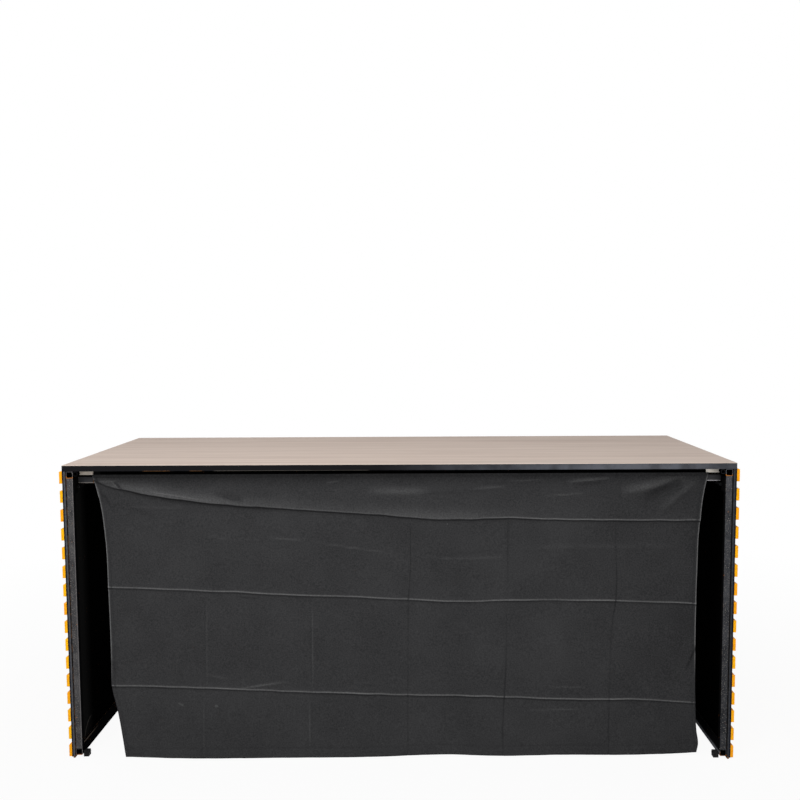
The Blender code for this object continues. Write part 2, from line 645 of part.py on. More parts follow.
build_top()
build_batten()
build_stop_sleeves()
build_hook_tape()
build_cloth()
for side_word, side_sign in SIDES:
    build_side(side_word, side_sign)
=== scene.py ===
# Folding buffet table with slatted sides and a hanging cloth.
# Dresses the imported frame: slats, felt, welds and cloth are made here, the rest gets its finish.
import math
import random

import bmesh
import bpy
import numpy as np
from mathutils import Matrix, Vector, noise


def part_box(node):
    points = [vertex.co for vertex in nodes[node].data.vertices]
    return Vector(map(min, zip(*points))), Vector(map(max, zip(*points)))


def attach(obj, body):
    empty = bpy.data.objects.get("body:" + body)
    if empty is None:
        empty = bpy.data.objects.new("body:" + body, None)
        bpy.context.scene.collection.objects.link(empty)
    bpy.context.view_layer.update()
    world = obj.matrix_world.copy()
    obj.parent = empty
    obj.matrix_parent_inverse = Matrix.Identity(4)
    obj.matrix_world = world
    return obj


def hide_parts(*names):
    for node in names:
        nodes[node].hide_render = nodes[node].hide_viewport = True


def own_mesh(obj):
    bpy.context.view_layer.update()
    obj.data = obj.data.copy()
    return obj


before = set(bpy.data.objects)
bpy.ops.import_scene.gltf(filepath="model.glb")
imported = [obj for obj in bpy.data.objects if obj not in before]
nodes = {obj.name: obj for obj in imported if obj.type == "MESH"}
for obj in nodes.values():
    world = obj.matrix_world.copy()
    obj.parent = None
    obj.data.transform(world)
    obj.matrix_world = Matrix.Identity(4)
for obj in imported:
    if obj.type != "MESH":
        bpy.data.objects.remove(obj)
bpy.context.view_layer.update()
scene = bpy.context.scene
scene.view_settings.view_transform = "Standard"
sides = (("left", -1), ("right", 1))
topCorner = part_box("top_board")[1]
halfLength = round(topCorner.x, 4)  # m, of the top
halfDepth = round(topCorner.y, 4)
print("frame loaded:", len(nodes), "nodes")


def toLinear(hexColour):
    values = [int(hexColour[i:i + 2], 16) / 255 for i in (1, 3, 5)]
    return (*[v / 12.92 if v <= 0.04045 else ((v + 0.055) / 1.055) ** 2.4 for v in values], 1.0)


def feed(tree, node, inputs):
    # Inputs come by name, or as a list in the order that the node shows them
    # A node given as a source stands for its first output in use
    shown = [socket for socket in node.inputs if socket.enabled]
    for key, source in inputs.items() if isinstance(inputs, dict) else enumerate(inputs):
        socket = node.inputs[key] if isinstance(key, str) else shown[key]
        if isinstance(source, bpy.types.Node):
            source = next(output for output in source.outputs if output.enabled)
        if isinstance(source, bpy.types.NodeSocket):
            tree.links.new(source, socket)
        else:
            socket.default_value = toLinear(source) if isinstance(source, str) else source


def addNode(tree, kind, inputs=(), **settings):
    node = tree.nodes.new("ShaderNode" + kind)
    for name, value in settings.items():
        setattr(node, name, value)
    feed(tree, node, inputs)
    return node


def startMaterial(name):
    material = bpy.data.materials.new(name)
    material.use_nodes = True
    tree = material.node_tree
    place = addNode(tree, "TexCoord").outputs["Object"]  # metres, as the object stands at rest
    return material, tree, tree.nodes["Principled BSDF"], place


def grainScale(alongX, alongY, alongZ):
    return (1000 / alongX, 1000 / alongY, 1000 / alongZ)  # pattern sizes in mm to cells per metre


def linkSurface(tree, shader, look, colour, roughFrom, height):
    # The look's sockets hold what is the same all over the surface
    rough = addNode(tree, "MapRange", [roughFrom, 0.0, 1.0, *look["roughness"]])
    bump = addNode(tree, "Bump", {"Strength": 1.0, "Distance": look["bumpDepth"], "Height": height})
    feed(tree, shader, {"Base Color": colour, "Roughness": rough, "Normal": bump, **look["sockets"]})


# Camera
cameraView = {
    "place": (0.0633, -3.2073, 1.2693),
    "yaw": -0.0192,
    "pitch": 0.0863,
    "roll": -0.0066,
    "lens": 43.06,
    "sensorWidth": 36,
    "shiftY": 0.0271,
}


def makeCamera(view):
    yaw, pitch, roll = view["yaw"], view["pitch"], view["roll"]
    ahead = Vector((math.sin(yaw) * math.cos(pitch), math.cos(yaw) * math.cos(pitch), -math.sin(pitch)))
    right = Vector((math.cos(yaw), -math.sin(yaw), 0.0))
    up = right.cross(ahead)
    turnedRight = right * math.cos(roll) + up * math.sin(roll)
    turnedUp = up * math.cos(roll) - right * math.sin(roll)
    data = bpy.data.cameras.new("photoCamera")
    data.lens = view["lens"]
    data.sensor_width = view["sensorWidth"]
    data.shift_y = view["shiftY"]
    camera = bpy.data.objects.new("photoCamera", data)
    axes = Matrix((turnedRight, turnedUp, -ahead)).transposed().to_4x4()
    camera.matrix_world = Matrix.Translation(view["place"]) @ axes
    scene.collection.objects.link(camera)
    scene.camera = camera


# Floor, surroundings and lamps
studio = {
    "white": (1, 1, 1, 1),
    "floorSize": 60.0,
    "floorDrop": 0.0006,       # m, keeps the floor clear of the feet
    "floorColour": "#c4c4c4",
    "floorGlow": (0.94, 1.0),  # share of plain white that the camera sees, under the table and far from it
    "floorFade": (1.3, 3.2),   # m from the middle, where the first share ends and the second starts
    "ambient": 0.36,
    "lamps": (                 # name, place, what it points at, width and height in m, watts
        ("keySoftbox", (-1.1, -2.7, 3.0), (0.0, -0.2, 0.6), 1.6, 1.6, 90),
        ("fillSoftbox", (1.7, -3.4, 1.1), (0.2, -0.3, 0.6), 1.6, 1.2, 30),
        ("overheadSoftbox", (0.0, -0.9, 3.2), (0.0, -0.3, 0.5), 2.6, 1.4, 10),
        ("leftSideSoftbox", (-3.6, 0.6, 0.95), (-1.0, 0.1, 0.45), 1.8, 1.2, 26),
        ("rightSideSoftbox", (3.6, 0.6, 0.95), (1.0, 0.1, 0.45), 1.8, 1.2, 26),
        ("rearSoftbox", (0.0, 3.8, 0.85), (0.0, 0.3, 0.5), 2.4, 0.9, 48),
    ),
}


def seenDirectly(tree):
    rays = addNode(tree, "LightPath").outputs
    first = addNode(tree, "Math", [rays["Is Camera Ray"], rays["Is Glossy Ray"]], operation="MAXIMUM")
    return addNode(tree, "Math", [first, rays["Is Transmission Ray"]], operation="MAXIMUM")


def makeSurroundings(setup):
    world = bpy.data.worlds.new("studio")
    scene.world = world
    world.use_nodes = True
    tree = world.node_tree
    tree.nodes.clear()
    soft = addNode(tree, "Background", {"Color": setup["white"], "Strength": setup["ambient"]})
    white = addNode(tree, "Background", {"Color": setup["white"], "Strength": 1.0})
    both = addNode(tree, "MixShader", [seenDirectly(tree), soft, white])
    addNode(tree, "OutputWorld", {"Surface": both})


def makeFloor(setup):
    shape = bmesh.new()
    bmesh.ops.create_grid(shape, x_segments=1, y_segments=1, size=setup["floorSize"] / 2)
    mesh = bpy.data.meshes.new("floor")
    shape.to_mesh(mesh)
    shape.free()
    floor = bpy.data.objects.new("floor", mesh)
    floor.location.z = -setup["floorDrop"]
    scene.collection.objects.link(floor)
    material = bpy.data.materials.new("Pale studio floor")
    material.use_nodes = True
    tree = material.node_tree
    tree.nodes.clear()
    matt = addNode(tree, "BsdfDiffuse", {"Color": setup["floorColour"]})
    glow = addNode(tree, "Emission", {"Color": setup["white"], "Strength": 1.0})
    place = addNode(tree, "TexCoord").outputs["Object"]
    far = addNode(tree, "VectorMath", [place], operation="LENGTH")
    fade = addNode(tree, "MapRange", [far, *setup["floorFade"], *setup["floorGlow"]])
    share = addNode(tree, "Math", [seenDirectly(tree), fade], operation="MULTIPLY")
    both = addNode(tree, "MixShader", [share, matt, glow])
    addNode(tree, "OutputMaterial", {"Surface": both})
    mesh.materials.append(material)


def makeLamps(setup):
    for name, place, target, width, height, watts in setup["lamps"]:
        data = bpy.data.lights.new(name, "AREA")
        data.shape = "RECTANGLE"
        data.size, data.size_y = width, height
        data.energy = watts
        lamp = bpy.data.objects.new(name, data)
        lamp.location = place
        lamp.rotation_mode = "QUATERNION"
        lamp.rotation_quaternion = (Vector(target) - Vector(place)).to_track_quat("-Z", "Y")
        lamp.visible_camera = False
        lamp.visible_glossy = False
        scene.collection.objects.link(lamp)


makeCamera(cameraView)
makeSurroundings(studio)
makeFloor(studio)
makeLamps(studio)
print("camera and studio made")


# Materials
leftToRight = (-0.5, 0.5)      # m along X, where a look passes from the left-hand end to the right-hand one

laminate = {
    "base": "#c9b9ae",
    "dark": "#af9d92",
    "light": "#e6d6c8",
    "streak": (700, 26, 26),   # mm along, across, through
    "fine": (260, 6, 6),
    "paleEdge": 0.009,         # m, front strip with a painted highlight
    "brownBack": 0.28,         # how much browner the sheet is towards the back
    "brownY": (0.0, 0.36),     # m, where that starts and where it is full
    "brownX": (-0.7, 0.0),     # m, where it grows to its full share from the left
    "brownLeft": 0.35,         # share of it at the left-hand end
    "roughness": (0.52, 0.66),
    "bumpDepth": 0.0002,       # m
    "sockets": {"Specular IOR Level": 0.12},
}


def makeLaminate(look):
    # Pressed laminate: a matt plate leaves an even satin skin, with faint printed streaks along the sheet
    material, tree, shader, place = startMaterial("Taupe pressed laminate")
    x, y, _ = addNode(tree, "SeparateXYZ", [place]).outputs
    coarse = addNode(tree, "Mapping", {"Vector": place, "Scale": grainScale(*look["streak"])})
    streak = addNode(tree, "TexNoise", {"Vector": coarse, "Scale": 1.0, "Detail": 4.0, "Roughness": 0.6})
    thin = addNode(tree, "Mapping", {"Vector": place, "Scale": grainScale(*look["fine"])})
    fine = addNode(tree, "TexNoise", {"Vector": thin, "Scale": 1.0, "Detail": 2.0})
    fineShare = addNode(tree, "Math", [fine, 0.3], operation="MULTIPLY")
    tone = addNode(tree, "Math", [streak, 0.7, fineShare], operation="MULTIPLY_ADD")
    printed = addNode(tree, "MapRange", [tone, 0.34, 0.64, 0.0, 0.75])
    toBack = addNode(tree, "MapRange", [y, *look["brownY"], 0.0, look["brownBack"]])
    toRight = addNode(tree, "MapRange", [x, *look["brownX"], look["brownLeft"], 1.0])
    share = addNode(tree, "Math", [toBack, toRight, printed], operation="MULTIPLY_ADD")
    body = addNode(tree, "Mix", [share, look["base"], look["dark"]], data_type="RGBA")
    # Painted highlight: a pale strip along the front edge
    front = addNode(tree, "MapRange", [y, -halfDepth, -halfDepth + look["paleEdge"], 0.8, 0.0])
    colour = addNode(tree, "Mix", [front, body, look["light"]], data_type="RGBA")
    linkSurface(tree, shader, look, colour, fine, fine)
    return material


edgePaint = {
    "left": "#111113",
    # painted reflection: the greyer colour that the edge takes towards the right-hand end
    "right": "#55575d",
    "reflectionX": (-0.05, 0.72),    # m, where the painted reflection starts and where it is strongest
    "reflectionEndX": (0.80, 0.98),      # m, where the painted reflection fades again
    "reflectionEndShare": 0.4,            # share of the painted reflection that is left there
    "cloud": 60,               # mm
    "wood": "#7d5836",
    "chip": 5.0,               # mm across a chip
    "rimDepth": 0.0022,        # m, rims at the upper and lower edges, where chips gather
    "rimWear": 0.34,
    "bare": ((-0.716, 0.046), (-0.598, 0.026)),  # m along X, middle and half length of stretches rubbed bare
    "bareZ": (0.0008, 0.0022),   # m over the lower edge, where the bare wood starts to fade and ends
    "rub": "#7b766e",
    "rubbed": (-0.315, 0.235),   # m along X, middle and half length of the pale lower rim
    "rubbedZ": (0.0004, 0.0020),
    "blend": 0.012,            # m, over which a stretch starts and ends
    "frontDepth": 0.005,       # m, what counts as the front edge
    "roughness": (0.5, 0.85),
    "bumpDepth": 0.0004,
    "sockets": {"Specular IOR Level": 0.08},
}


def makeEdgePaint(look):
    # Black paint brushed on a plywood edge: dull, greyed towards the right by a painted reflection, paler
    # where it is rubbed, wood in the chips
    material, tree, shader, place = startMaterial("Black painted plywood")
    bottom, top = (corner.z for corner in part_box("top_board"))
    x, y, z = addNode(tree, "SeparateXYZ", [place]).outputs
    chips = addNode(tree, "TexNoise", [place, 1000 / look["chip"], 3.0, 0.7])
    cloudy = addNode(tree, "TexNoise", [place, 1000 / look["cloud"], 5.0, 0.6])
    # Painted reflection greying the paint towards the right-hand end
    across = addNode(tree, "MapRange", [x, *look["reflectionX"]])
    shade = addNode(tree, "MapRange", [cloudy, 0.35, 0.65, 0.6, 1.35])
    rightEnd = addNode(tree, "MapRange", [x, *look["reflectionEndX"], 1.0, look["reflectionEndShare"]])
    reflected = addNode(tree, "Math", [across, rightEnd], operation="MULTIPLY")
    mixed = addNode(tree, "Math", [reflected, shade], operation="MULTIPLY", use_clamp=True)
    paint = addNode(tree, "Mix", [mixed, look["left"], look["right"]], data_type="RGBA")
    upper = addNode(tree, "MapRange", [z, top - look["rimDepth"], top, 0.0, look["rimWear"]])
    lower = addNode(tree, "MapRange", [z, bottom, bottom + look["rimDepth"], look["rimWear"], 0.0])
    rims = addNode(tree, "Math", [upper, lower], operation="MAXIMUM")
    stretches = []
    for middle, half in (*look["bare"], look["rubbed"]):
        gap = addNode(tree, "Math", [x, middle], operation="SUBTRACT")
        away = addNode(tree, "Math", [gap], operation="ABSOLUTE")
        stretches.append(addNode(tree, "MapRange", [away, half - look["blend"], half, 1.0, 0.0]))
    firstBare, secondBare, rubStretch = stretches
    stretch = addNode(tree, "Math", [firstBare, secondBare], operation="MAXIMUM")
    strip = addNode(tree, "MapRange", [z, *(bottom + rise for rise in look["bareZ"]), 0.5, 0.0])
    rubStrip = addNode(tree, "MapRange", [z, *(bottom + rise for rise in look["rubbedZ"]), 0.9, 0.0])
    rubTone = addNode(tree, "Math", [rubStrip, cloudy], operation="MULTIPLY")
    rubShare = addNode(tree, "Math", [rubTone, rubStretch], operation="MULTIPLY")
    rubbed = addNode(tree, "Mix", [rubShare, paint, look["rub"]], data_type="RGBA")
    atFront = addNode(tree, "Math", [y, look["frontDepth"] - halfDepth], operation="LESS_THAN")
    bare = addNode(tree, "Math", [stretch, strip], operation="MULTIPLY")
    bareFront = addNode(tree, "Math", [bare, atFront], operation="MULTIPLY")
    worn = addNode(tree, "Math", [rims, bareFront], operation="ADD")
    reach = addNode(tree, "Math", [chips, worn], operation="ADD")
    wood = addNode(tree, "MapRange", [reach, 1.00, 1.08])
    colour = addNode(tree, "Mix", [wood, rubbed, look["wood"]], data_type="RGBA")
    linkSurface(tree, shader, look, colour, wood, chips)
    return material


tubePaint = {
    "side": "#0c0c0d",         # faces that look along X or Z
    "litLowSide": "#5c5d61",      # painted light on the inner face of the right-hand bottom rail
    "litLowSideX": (0.9673, 0.0025),  # m, its inner face, and how near counts
    "litLowSideZ": (0.019, 0.025),  # m, where the painted light starts to thin out and ends
    "streak": "#6e6258",       # scraped streak along the top of the left-hand bottom rail
    "streakX": (-0.9790, 0.0020),  # m, middle and half width
    "streakZ": (0.0285, 0.0012),  # m, level, and how near counts
    "streakY": (-0.34, -0.21),   # m, where the streak starts to thin out and ends
    # painted shade: the tabs in the gap under the blocks are drawn near black
    "tab": "#060606",
    "tabZ": (0.8590, 0.8596),  # m, tabs stand on the cross tubes above this
    # front and rear faces: grey as painted light and dust, the other faces near black
    "base": "#4a494a",
    "shaded": "#37383b",       # the right-hand frame is darker and bluer
    "dark": "#313133",
    "darkShaded": "#242528",
    "cloud": 45,               # mm
    "faceDepth": (0.0014, 0.0004),  # m behind the front and rear ends, where their colour starts and is full
    # pale flecks, and the base colour of the painted highlight along the lower front edge
    "paleTint": "#a39c94",
    "rim": 0.0,                # share of the painted highlight along the lower front edge
    "rimRight": "#e4e4ea",     # the highlight's colour at the right-hand end
    "rimZ": (0.0014, 0.0034),  # m over the cross tube's lower edge, where it starts to fade and ends
    "rimY": (0.0010, 0.0026),  # m back from its front
    "highLift": 0.5,           # how much lighter the right-hand frame is higher up
    "highZ": (0.30, 0.72),     # m, where that starts and where it is full
    "cornerHighlight": "#646263",     # painted highlight on the inner front corner of the left-hand frame
    "cornerHighlightX": (-0.9688, 0.0014),  # m, middle and half width
    "rust": "#e08a2a",
    "deepRust": "#6e3b14",
    "endRust": 0.42,           # how readily sawn ends rust
    "rustReach": 0.0040,       # m from an open end
    "railZ": (0.0300, 0.8612),   # m, the rails lie below and above these heights
    "wetLow": (0.013, 0.017),  # m, a bottom rail's end rusts most below this
    "wetHigh": (0.8655, 0.8680),  # m, the same in a top rail
    "rustPatch": 16,           # mm
    "rustSpot": 14,            # mm
    "fleck": 3.2,              # mm, drawn coarser than real paint flecks so that it shows
    "skin": 1.4,               # mm
    "roughness": (0.42, 0.9),
    "bumpDepth": 0.00025,
    "sockets": {"Specular IOR Level": 0.0},
}
# the cross tubes carry the painted highlight along their lower front edge
crossPaint = dict(tubePaint, side="#3c3c3e", rim=0.75, endRust=0.0)
stripPaint = dict(tubePaint, side="#0f0f10", base="#121213", shaded="#121213", dark="#0b0b0c",
                  darkShaded="#0b0b0c", paleTint="#35342f", endRust=0.0)


def tubeFront(tree, look, place, x, z, onRight):
    # Faces to the front and rear: cloudy grey as painted light and dust, lighter up the right-hand frame, a
    # painted highlight on one corner on the left
    cloudy = addNode(tree, "TexNoise", [place, 1000 / look["cloud"], 5.0, 0.6])
    share = addNode(tree, "MapRange", [cloudy, 0.35, 0.62])
    light = addNode(tree, "Mix", [onRight, look["base"], look["shaded"]], data_type="RGBA")
    deep = addNode(tree, "Mix", [onRight, look["dark"], look["darkShaded"]], data_type="RGBA")
    mixed = addNode(tree, "Mix", [share, deep, light], data_type="RGBA")
    rise = addNode(tree, "MapRange", [z, *look["highZ"], 0.0, look["highLift"]])
    lift = addNode(tree, "Math", [rise, onRight, 1.0], operation="MULTIPLY_ADD")
    lifted = addNode(tree, "VectorMath", [mixed, lift], operation="SCALE")
    # Painted highlight along the inner front corner of the left-hand post
    atCorner = addNode(tree, "Math", [x, *look["cornerHighlightX"]], operation="COMPARE")
    cornerShare = addNode(tree, "Math", [atCorner, 0.8], operation="MULTIPLY")
    return addNode(tree, "Mix", [cornerShare, lifted, look["cornerHighlight"]], data_type="RGBA")


def tubeSides(tree, look, x, y, z):
    # Faces along X or Z: near black, tabs darker still as painted shade, painted light low on the right, a
    # scraped streak low on the left
    # Painted shade: the tabs are drawn near black
    onTab = addNode(tree, "MapRange", [z, *look["tabZ"]])
    tabbed = addNode(tree, "Mix", [onTab, look["side"], look["tab"]], data_type="RGBA")
    # Painted light low on the inner face of the right-hand bottom rail
    innerFace = addNode(tree, "Math", [x, *look["litLowSideX"]], operation="COMPARE")
    paleTint = addNode(tree, "MapRange", [z, *look["litLowSideZ"], 1.0, 0.0])
    litRail = addNode(tree, "Math", [paleTint, innerFace], operation="MULTIPLY")
    sideTone = addNode(tree, "Mix", [litRail, tabbed, look["litLowSide"]], data_type="RGBA")
    beside = addNode(tree, "Math", [x, *look["streakX"]], operation="COMPARE")
    level = addNode(tree, "Math", [z, *look["streakZ"]], operation="COMPARE")
    onStreak = addNode(tree, "Math", [beside, level], operation="MULTIPLY")
    thinning = addNode(tree, "MapRange", [y, *look["streakY"], 1.0, 0.0])
    streakShare = addNode(tree, "Math", [onStreak, thinning], operation="MULTIPLY")
    return addNode(tree, "Mix", [streakShare, sideTone, look["streak"]], data_type="RGBA")


def tubeRust(tree, look, place, reachY, z):
    # Rust in the sawn ends of the rails, most at their lower edges, and in spots anywhere
    ends = (halfDepth - look["rustReach"], halfDepth)
    nearEnd = addNode(tree, "MapRange", [reachY, *ends, 0.0, look["endRust"]])
    railLow, railHigh = look["railZ"]
    lowRail = addNode(tree, "Math", [z, railLow], operation="LESS_THAN")
    highRail = addNode(tree, "Math", [z, railHigh], operation="GREATER_THAN")
    wetLow = addNode(tree, "MapRange", [z, *look["wetLow"], 1.0, 0.45])
    wetHigh = addNode(tree, "MapRange", [z, *look["wetHigh"], 1.0, 0.3])
    rustyLow = addNode(tree, "Math", [lowRail, wetLow], operation="MULTIPLY")
    rustyHigh = addNode(tree, "Math", [highRail, wetHigh], operation="MULTIPLY")
    onRail = addNode(tree, "Math", [rustyLow, rustyHigh], operation="MAXIMUM")
    sawn = addNode(tree, "Math", [nearEnd, onRail], operation="MULTIPLY")
    patchy = addNode(tree, "TexNoise", [place, 1000 / look["rustPatch"], 3.0])
    eaten = addNode(tree, "Math", [patchy, sawn], operation="ADD")
    spots = addNode(tree, "TexNoise", [place, 1000 / look["rustSpot"], 6.0, 0.7])
    spotShare = addNode(tree, "MapRange", [spots, 0.665, 0.72, 0.0, 0.75])
    endShare = addNode(tree, "MapRange", [eaten, 0.78, 0.98])
    return addNode(tree, "Math", [spotShare, endShare], operation="MAXIMUM", use_clamp=True)


def makeTubePaint(look, name):
    # Brushed enamel on mild steel tube: orange-peel skin, pale flecks, rust at the sawn ends and in spots;
    # front and rear faces grey as painted light, the cross tubes with a painted highlight along the lower
    # front edge
    material, tree, shader, place = startMaterial(name)
    x, y, z = addNode(tree, "SeparateXYZ", [place]).outputs
    flecks = addNode(tree, "TexNoise", [place, 1000 / look["fleck"], 2.0])
    skin = addNode(tree, "TexNoise", [place, 1000 / look["skin"], 1.0])
    onRight = addNode(tree, "MapRange", [x, *leftToRight])
    reachY = addNode(tree, "Math", [y], operation="ABSOLUTE")
    atFace = addNode(tree, "MapRange", [reachY, *(halfDepth - depth for depth in look["faceDepth"])])
    front = tubeFront(tree, look, place, x, z, onRight)
    side = tubeSides(tree, look, x, y, z)
    # Painted light: front and rear faces take the grey front colour, the other faces the near-black side
    # colour
    paint = addNode(tree, "Mix", [atFace, side, front], data_type="RGBA")
    pale = addNode(tree, "MapRange", [flecks, 0.58, 0.72, 0.0, 0.65])
    paleFace = addNode(tree, "Math", [pale, atFace], operation="MULTIPLY")
    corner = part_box("front_cross_tube")[0]
    # Painted highlight along the cross tube's lower front edge, whiter at the right-hand end
    lowRim = addNode(tree, "MapRange", [z, *(corner.z + rise for rise in look["rimZ"]), look["rim"], 0.0])
    frontRim = addNode(tree, "MapRange", [y, *(corner.y + depth for depth in look["rimY"]), 1.0, 0.0])
    rim = addNode(tree, "Math", [lowRim, frontRim], operation="MULTIPLY")
    flecksAndHighlight = addNode(tree, "Math", [paleFace, rim], operation="MAXIMUM")
    rimRight = addNode(tree, "Math", [rim, onRight], operation="MULTIPLY")
    paleTone = addNode(tree, "Mix", [rimRight, look["paleTint"], look["rimRight"]], data_type="RGBA")
    paled = addNode(tree, "Mix", [flecksAndHighlight, paint, paleTone], data_type="RGBA")
    rust = tubeRust(tree, look, place, reachY, z)
    rustTone = addNode(tree, "Mix", [flecks, look["deepRust"], look["rust"]], data_type="RGBA")
    colour = addNode(tree, "Mix", [rust, paled, rustTone], data_type="RGBA")
    lumps = addNode(tree, "Math", [rust, flecks, skin], operation="MULTIPLY_ADD")
    linkSurface(tree, shader, look, colour, rust, lumps)
    return material


pine = {
    "faded": "#ffc608",
    "stain": "#f59c14",
    "rightStain": 0.35,        # how much deeper the stain is on the right-hand side
    "late": "#dc800c",
    "knot": "#7d4213",
    "grain": (3.4, 320, 3.4),  # mm, growth lines along the slat
    "fibre": (0.9, 45, 0.9),   # mm
    "knotGap": 190,            # mm
    "plank": (9.0, 9.0, 9.0),  # m, range in which each slat takes its piece of the grain
    "sideStep": 31.7,          # so that no two slats of the two sides are alike
    "roughness": (0.42, 0.6),
    "bumpDepth": 0.0003,
    "sockets": {"Specular IOR Level": 0.15},
}


def makePine(look, run):
    # Pine strip under orange stain and thin varnish: satin, late-wood lines along the strip, small knots
    material, tree, shader, place = startMaterial("Orange stained pine")
    x, _, z = addNode(tree, "SeparateXYZ", [place]).outputs
    start = run["lift"] - (run["pitch"] - run["height"]) / 2
    fromLow = addNode(tree, "Math", [z, start], operation="SUBTRACT")
    ratio = addNode(tree, "Math", [fromLow, run["pitch"]], operation="DIVIDE")
    row = addNode(tree, "Math", [ratio], operation="FLOOR")
    sideSign = addNode(tree, "Math", [x], operation="SIGN")
    stripId = addNode(tree, "Math", [sideSign, look["sideStep"], row], operation="MULTIPLY_ADD")
    chance = addNode(tree, "TexWhiteNoise", {"W": stripId}, noise_dimensions="1D")
    shift = addNode(tree, "VectorMath", [chance.outputs["Color"], look["plank"]], operation="MULTIPLY")
    moved = addNode(tree, "VectorMath", [place, shift], operation="ADD")
    stretched = addNode(tree, "Mapping", {"Vector": moved, "Scale": grainScale(*look["grain"])})
    grain = addNode(tree, "TexNoise", {"Vector": stretched, "Scale": 1.0, "Detail": 3.0,
                                       "Roughness": 0.55, "Distortion": 0.6})
    fibres = addNode(tree, "Mapping", {"Vector": moved, "Scale": grainScale(*look["fibre"])})
    fibre = addNode(tree, "TexNoise", {"Vector": fibres, "Scale": 1.0, "Detail": 2.0})
    knots = addNode(tree, "TexVoronoi", {"Vector": moved, "Scale": 1000 / look["knotGap"]})
    knotShare = addNode(tree, "MapRange", [knots.outputs["Distance"], 0.035, 0.060, 0.9, 0.0])
    fade = addNode(tree, "MapRange", [chance.outputs["Value"], 0.0, 1.0, 0.0, 0.75])
    onRight = addNode(tree, "MapRange", [x, *leftToRight, 0.0, look["rightStain"]])
    depth = addNode(tree, "Math", [fade, onRight], operation="ADD", use_clamp=True)
    body = addNode(tree, "Mix", [depth, look["faded"], look["stain"]], data_type="RGBA")
    lines = addNode(tree, "MapRange", [grain, 0.50, 0.64, 0.0, 0.7])
    pores = addNode(tree, "MapRange", [fibre, 0.50, 0.75, 0.0, 0.45])
    figure = addNode(tree, "Math", [lines, pores], operation="MAXIMUM")
    lined = addNode(tree, "Mix", [figure, body, look["late"]], data_type="RGBA")
    colour = addNode(tree, "Mix", [knotShare, lined, look["knot"]], data_type="RGBA")
    height = addNode(tree, "Math", [grain, fibre], operation="ADD")
    linkSurface(tree, shader, look, colour, fibre, height)
    return material


felt = {
    "base": "#0d121c",
    "fuzz": "#1f2838",
    "tuft": 2.6,               # mm
    "roughness": (0.9, 1.0),
    "bumpDepth": 0.0006,
    "sockets": {"Specular IOR Level": 0.05, "Sheen Weight": 0.05},
}


def makeFelt(look):
    # Needled polyester felt: matt, bluish black, with a pale fuzz of fibre ends
    material, tree, shader, place = startMaterial("Navy needled felt")
    tufts = addNode(tree, "TexNoise", [place, 1000 / look["tuft"], 4.0, 0.75])
    share = addNode(tree, "MapRange", [tufts, 0.45, 0.72])
    colour = addNode(tree, "Mix", [share, look["base"], look["fuzz"]], data_type="RGBA")
    linkSurface(tree, shader, look, colour, tufts, tufts)
    return material


sideBoard = {
    "face": "#030303",
    "paled": "#181818",        # painted light near the front edge of the left-hand board
    "frontLightX": -0.9,            # m, the painted light lies to the left of this
    "frontLightY": (-0.285, -0.225),  # m, where the painted light starts to thin out and ends
    "edge": "#55565a",
    "edgeRight": "#3e4044",    # the right-hand board's cut edge is darker
    "edgeDepth": 0.0022,       # m
    "mottle": 7,               # mm
    "scratch": "#2c2b2a",
    "scratchSize": (60, 2.2, 2.2),  # mm
    "scratchTurn": (0.9, 0.2, 0.4),
    "patch": 160,              # mm, scratches come in patches
    "scuff": "#55524e",
    "scuffAt": (-0.988, -0.243, 0.0),  # m, middle of the arc that something swinging has scuffed
    "scuffReach": 0.074,       # m
    "scuffWidth": (0.0008, 0.0022),  # m to either side of the arc, where it starts to fade and ends
    "scuffEnd": (-0.262, -0.244),  # m along Y, where the arc starts to fade and ends
    "wood": "#6d4a2c",
    "floorRub": 0.012,         # m over the floor
    "roughness": (0.7, 0.9),
    "bumpDepth": 0.0002,
    "sockets": {"Specular IOR Level": 0.0},
}


def boardFace(tree, look, place, x, y, lines):
    # Rolled paint with fine scratches, painted light near the front of the left-hand board, and one scuffed
    # arc
    # Painted light: the left-hand board is paler near its front edge
    onLeft = addNode(tree, "Math", [x, look["frontLightX"]], operation="LESS_THAN")
    paleTint = addNode(tree, "MapRange", [y, *look["frontLightY"], 1.0, 0.0])
    frontLightShare = addNode(tree, "Math", [paleTint, onLeft], operation="MULTIPLY")
    rolledAndLit = addNode(tree, "Mix", [frontLightShare, look["face"], look["paled"]], data_type="RGBA")
    clean = addNode(tree, "Mix", [lines, rolledAndLit, look["scratch"]], data_type="RGBA")
    swing = addNode(tree, "VectorMath", [place, look["scuffAt"]], operation="DISTANCE")
    offArc = addNode(tree, "Math", [swing, look["scuffReach"]], operation="SUBTRACT")
    arcGap = addNode(tree, "Math", [offArc], operation="ABSOLUTE")
    arc = addNode(tree, "MapRange", [arcGap, *look["scuffWidth"], 0.8, 0.0])
    fading = addNode(tree, "MapRange", [y, *look["scuffEnd"], 1.0, 0.0])
    scuffed = addNode(tree, "Math", [arc, fading], operation="MULTIPLY")
    return addNode(tree, "Mix", [scuffed, clean, look["scuff"]], data_type="RGBA")


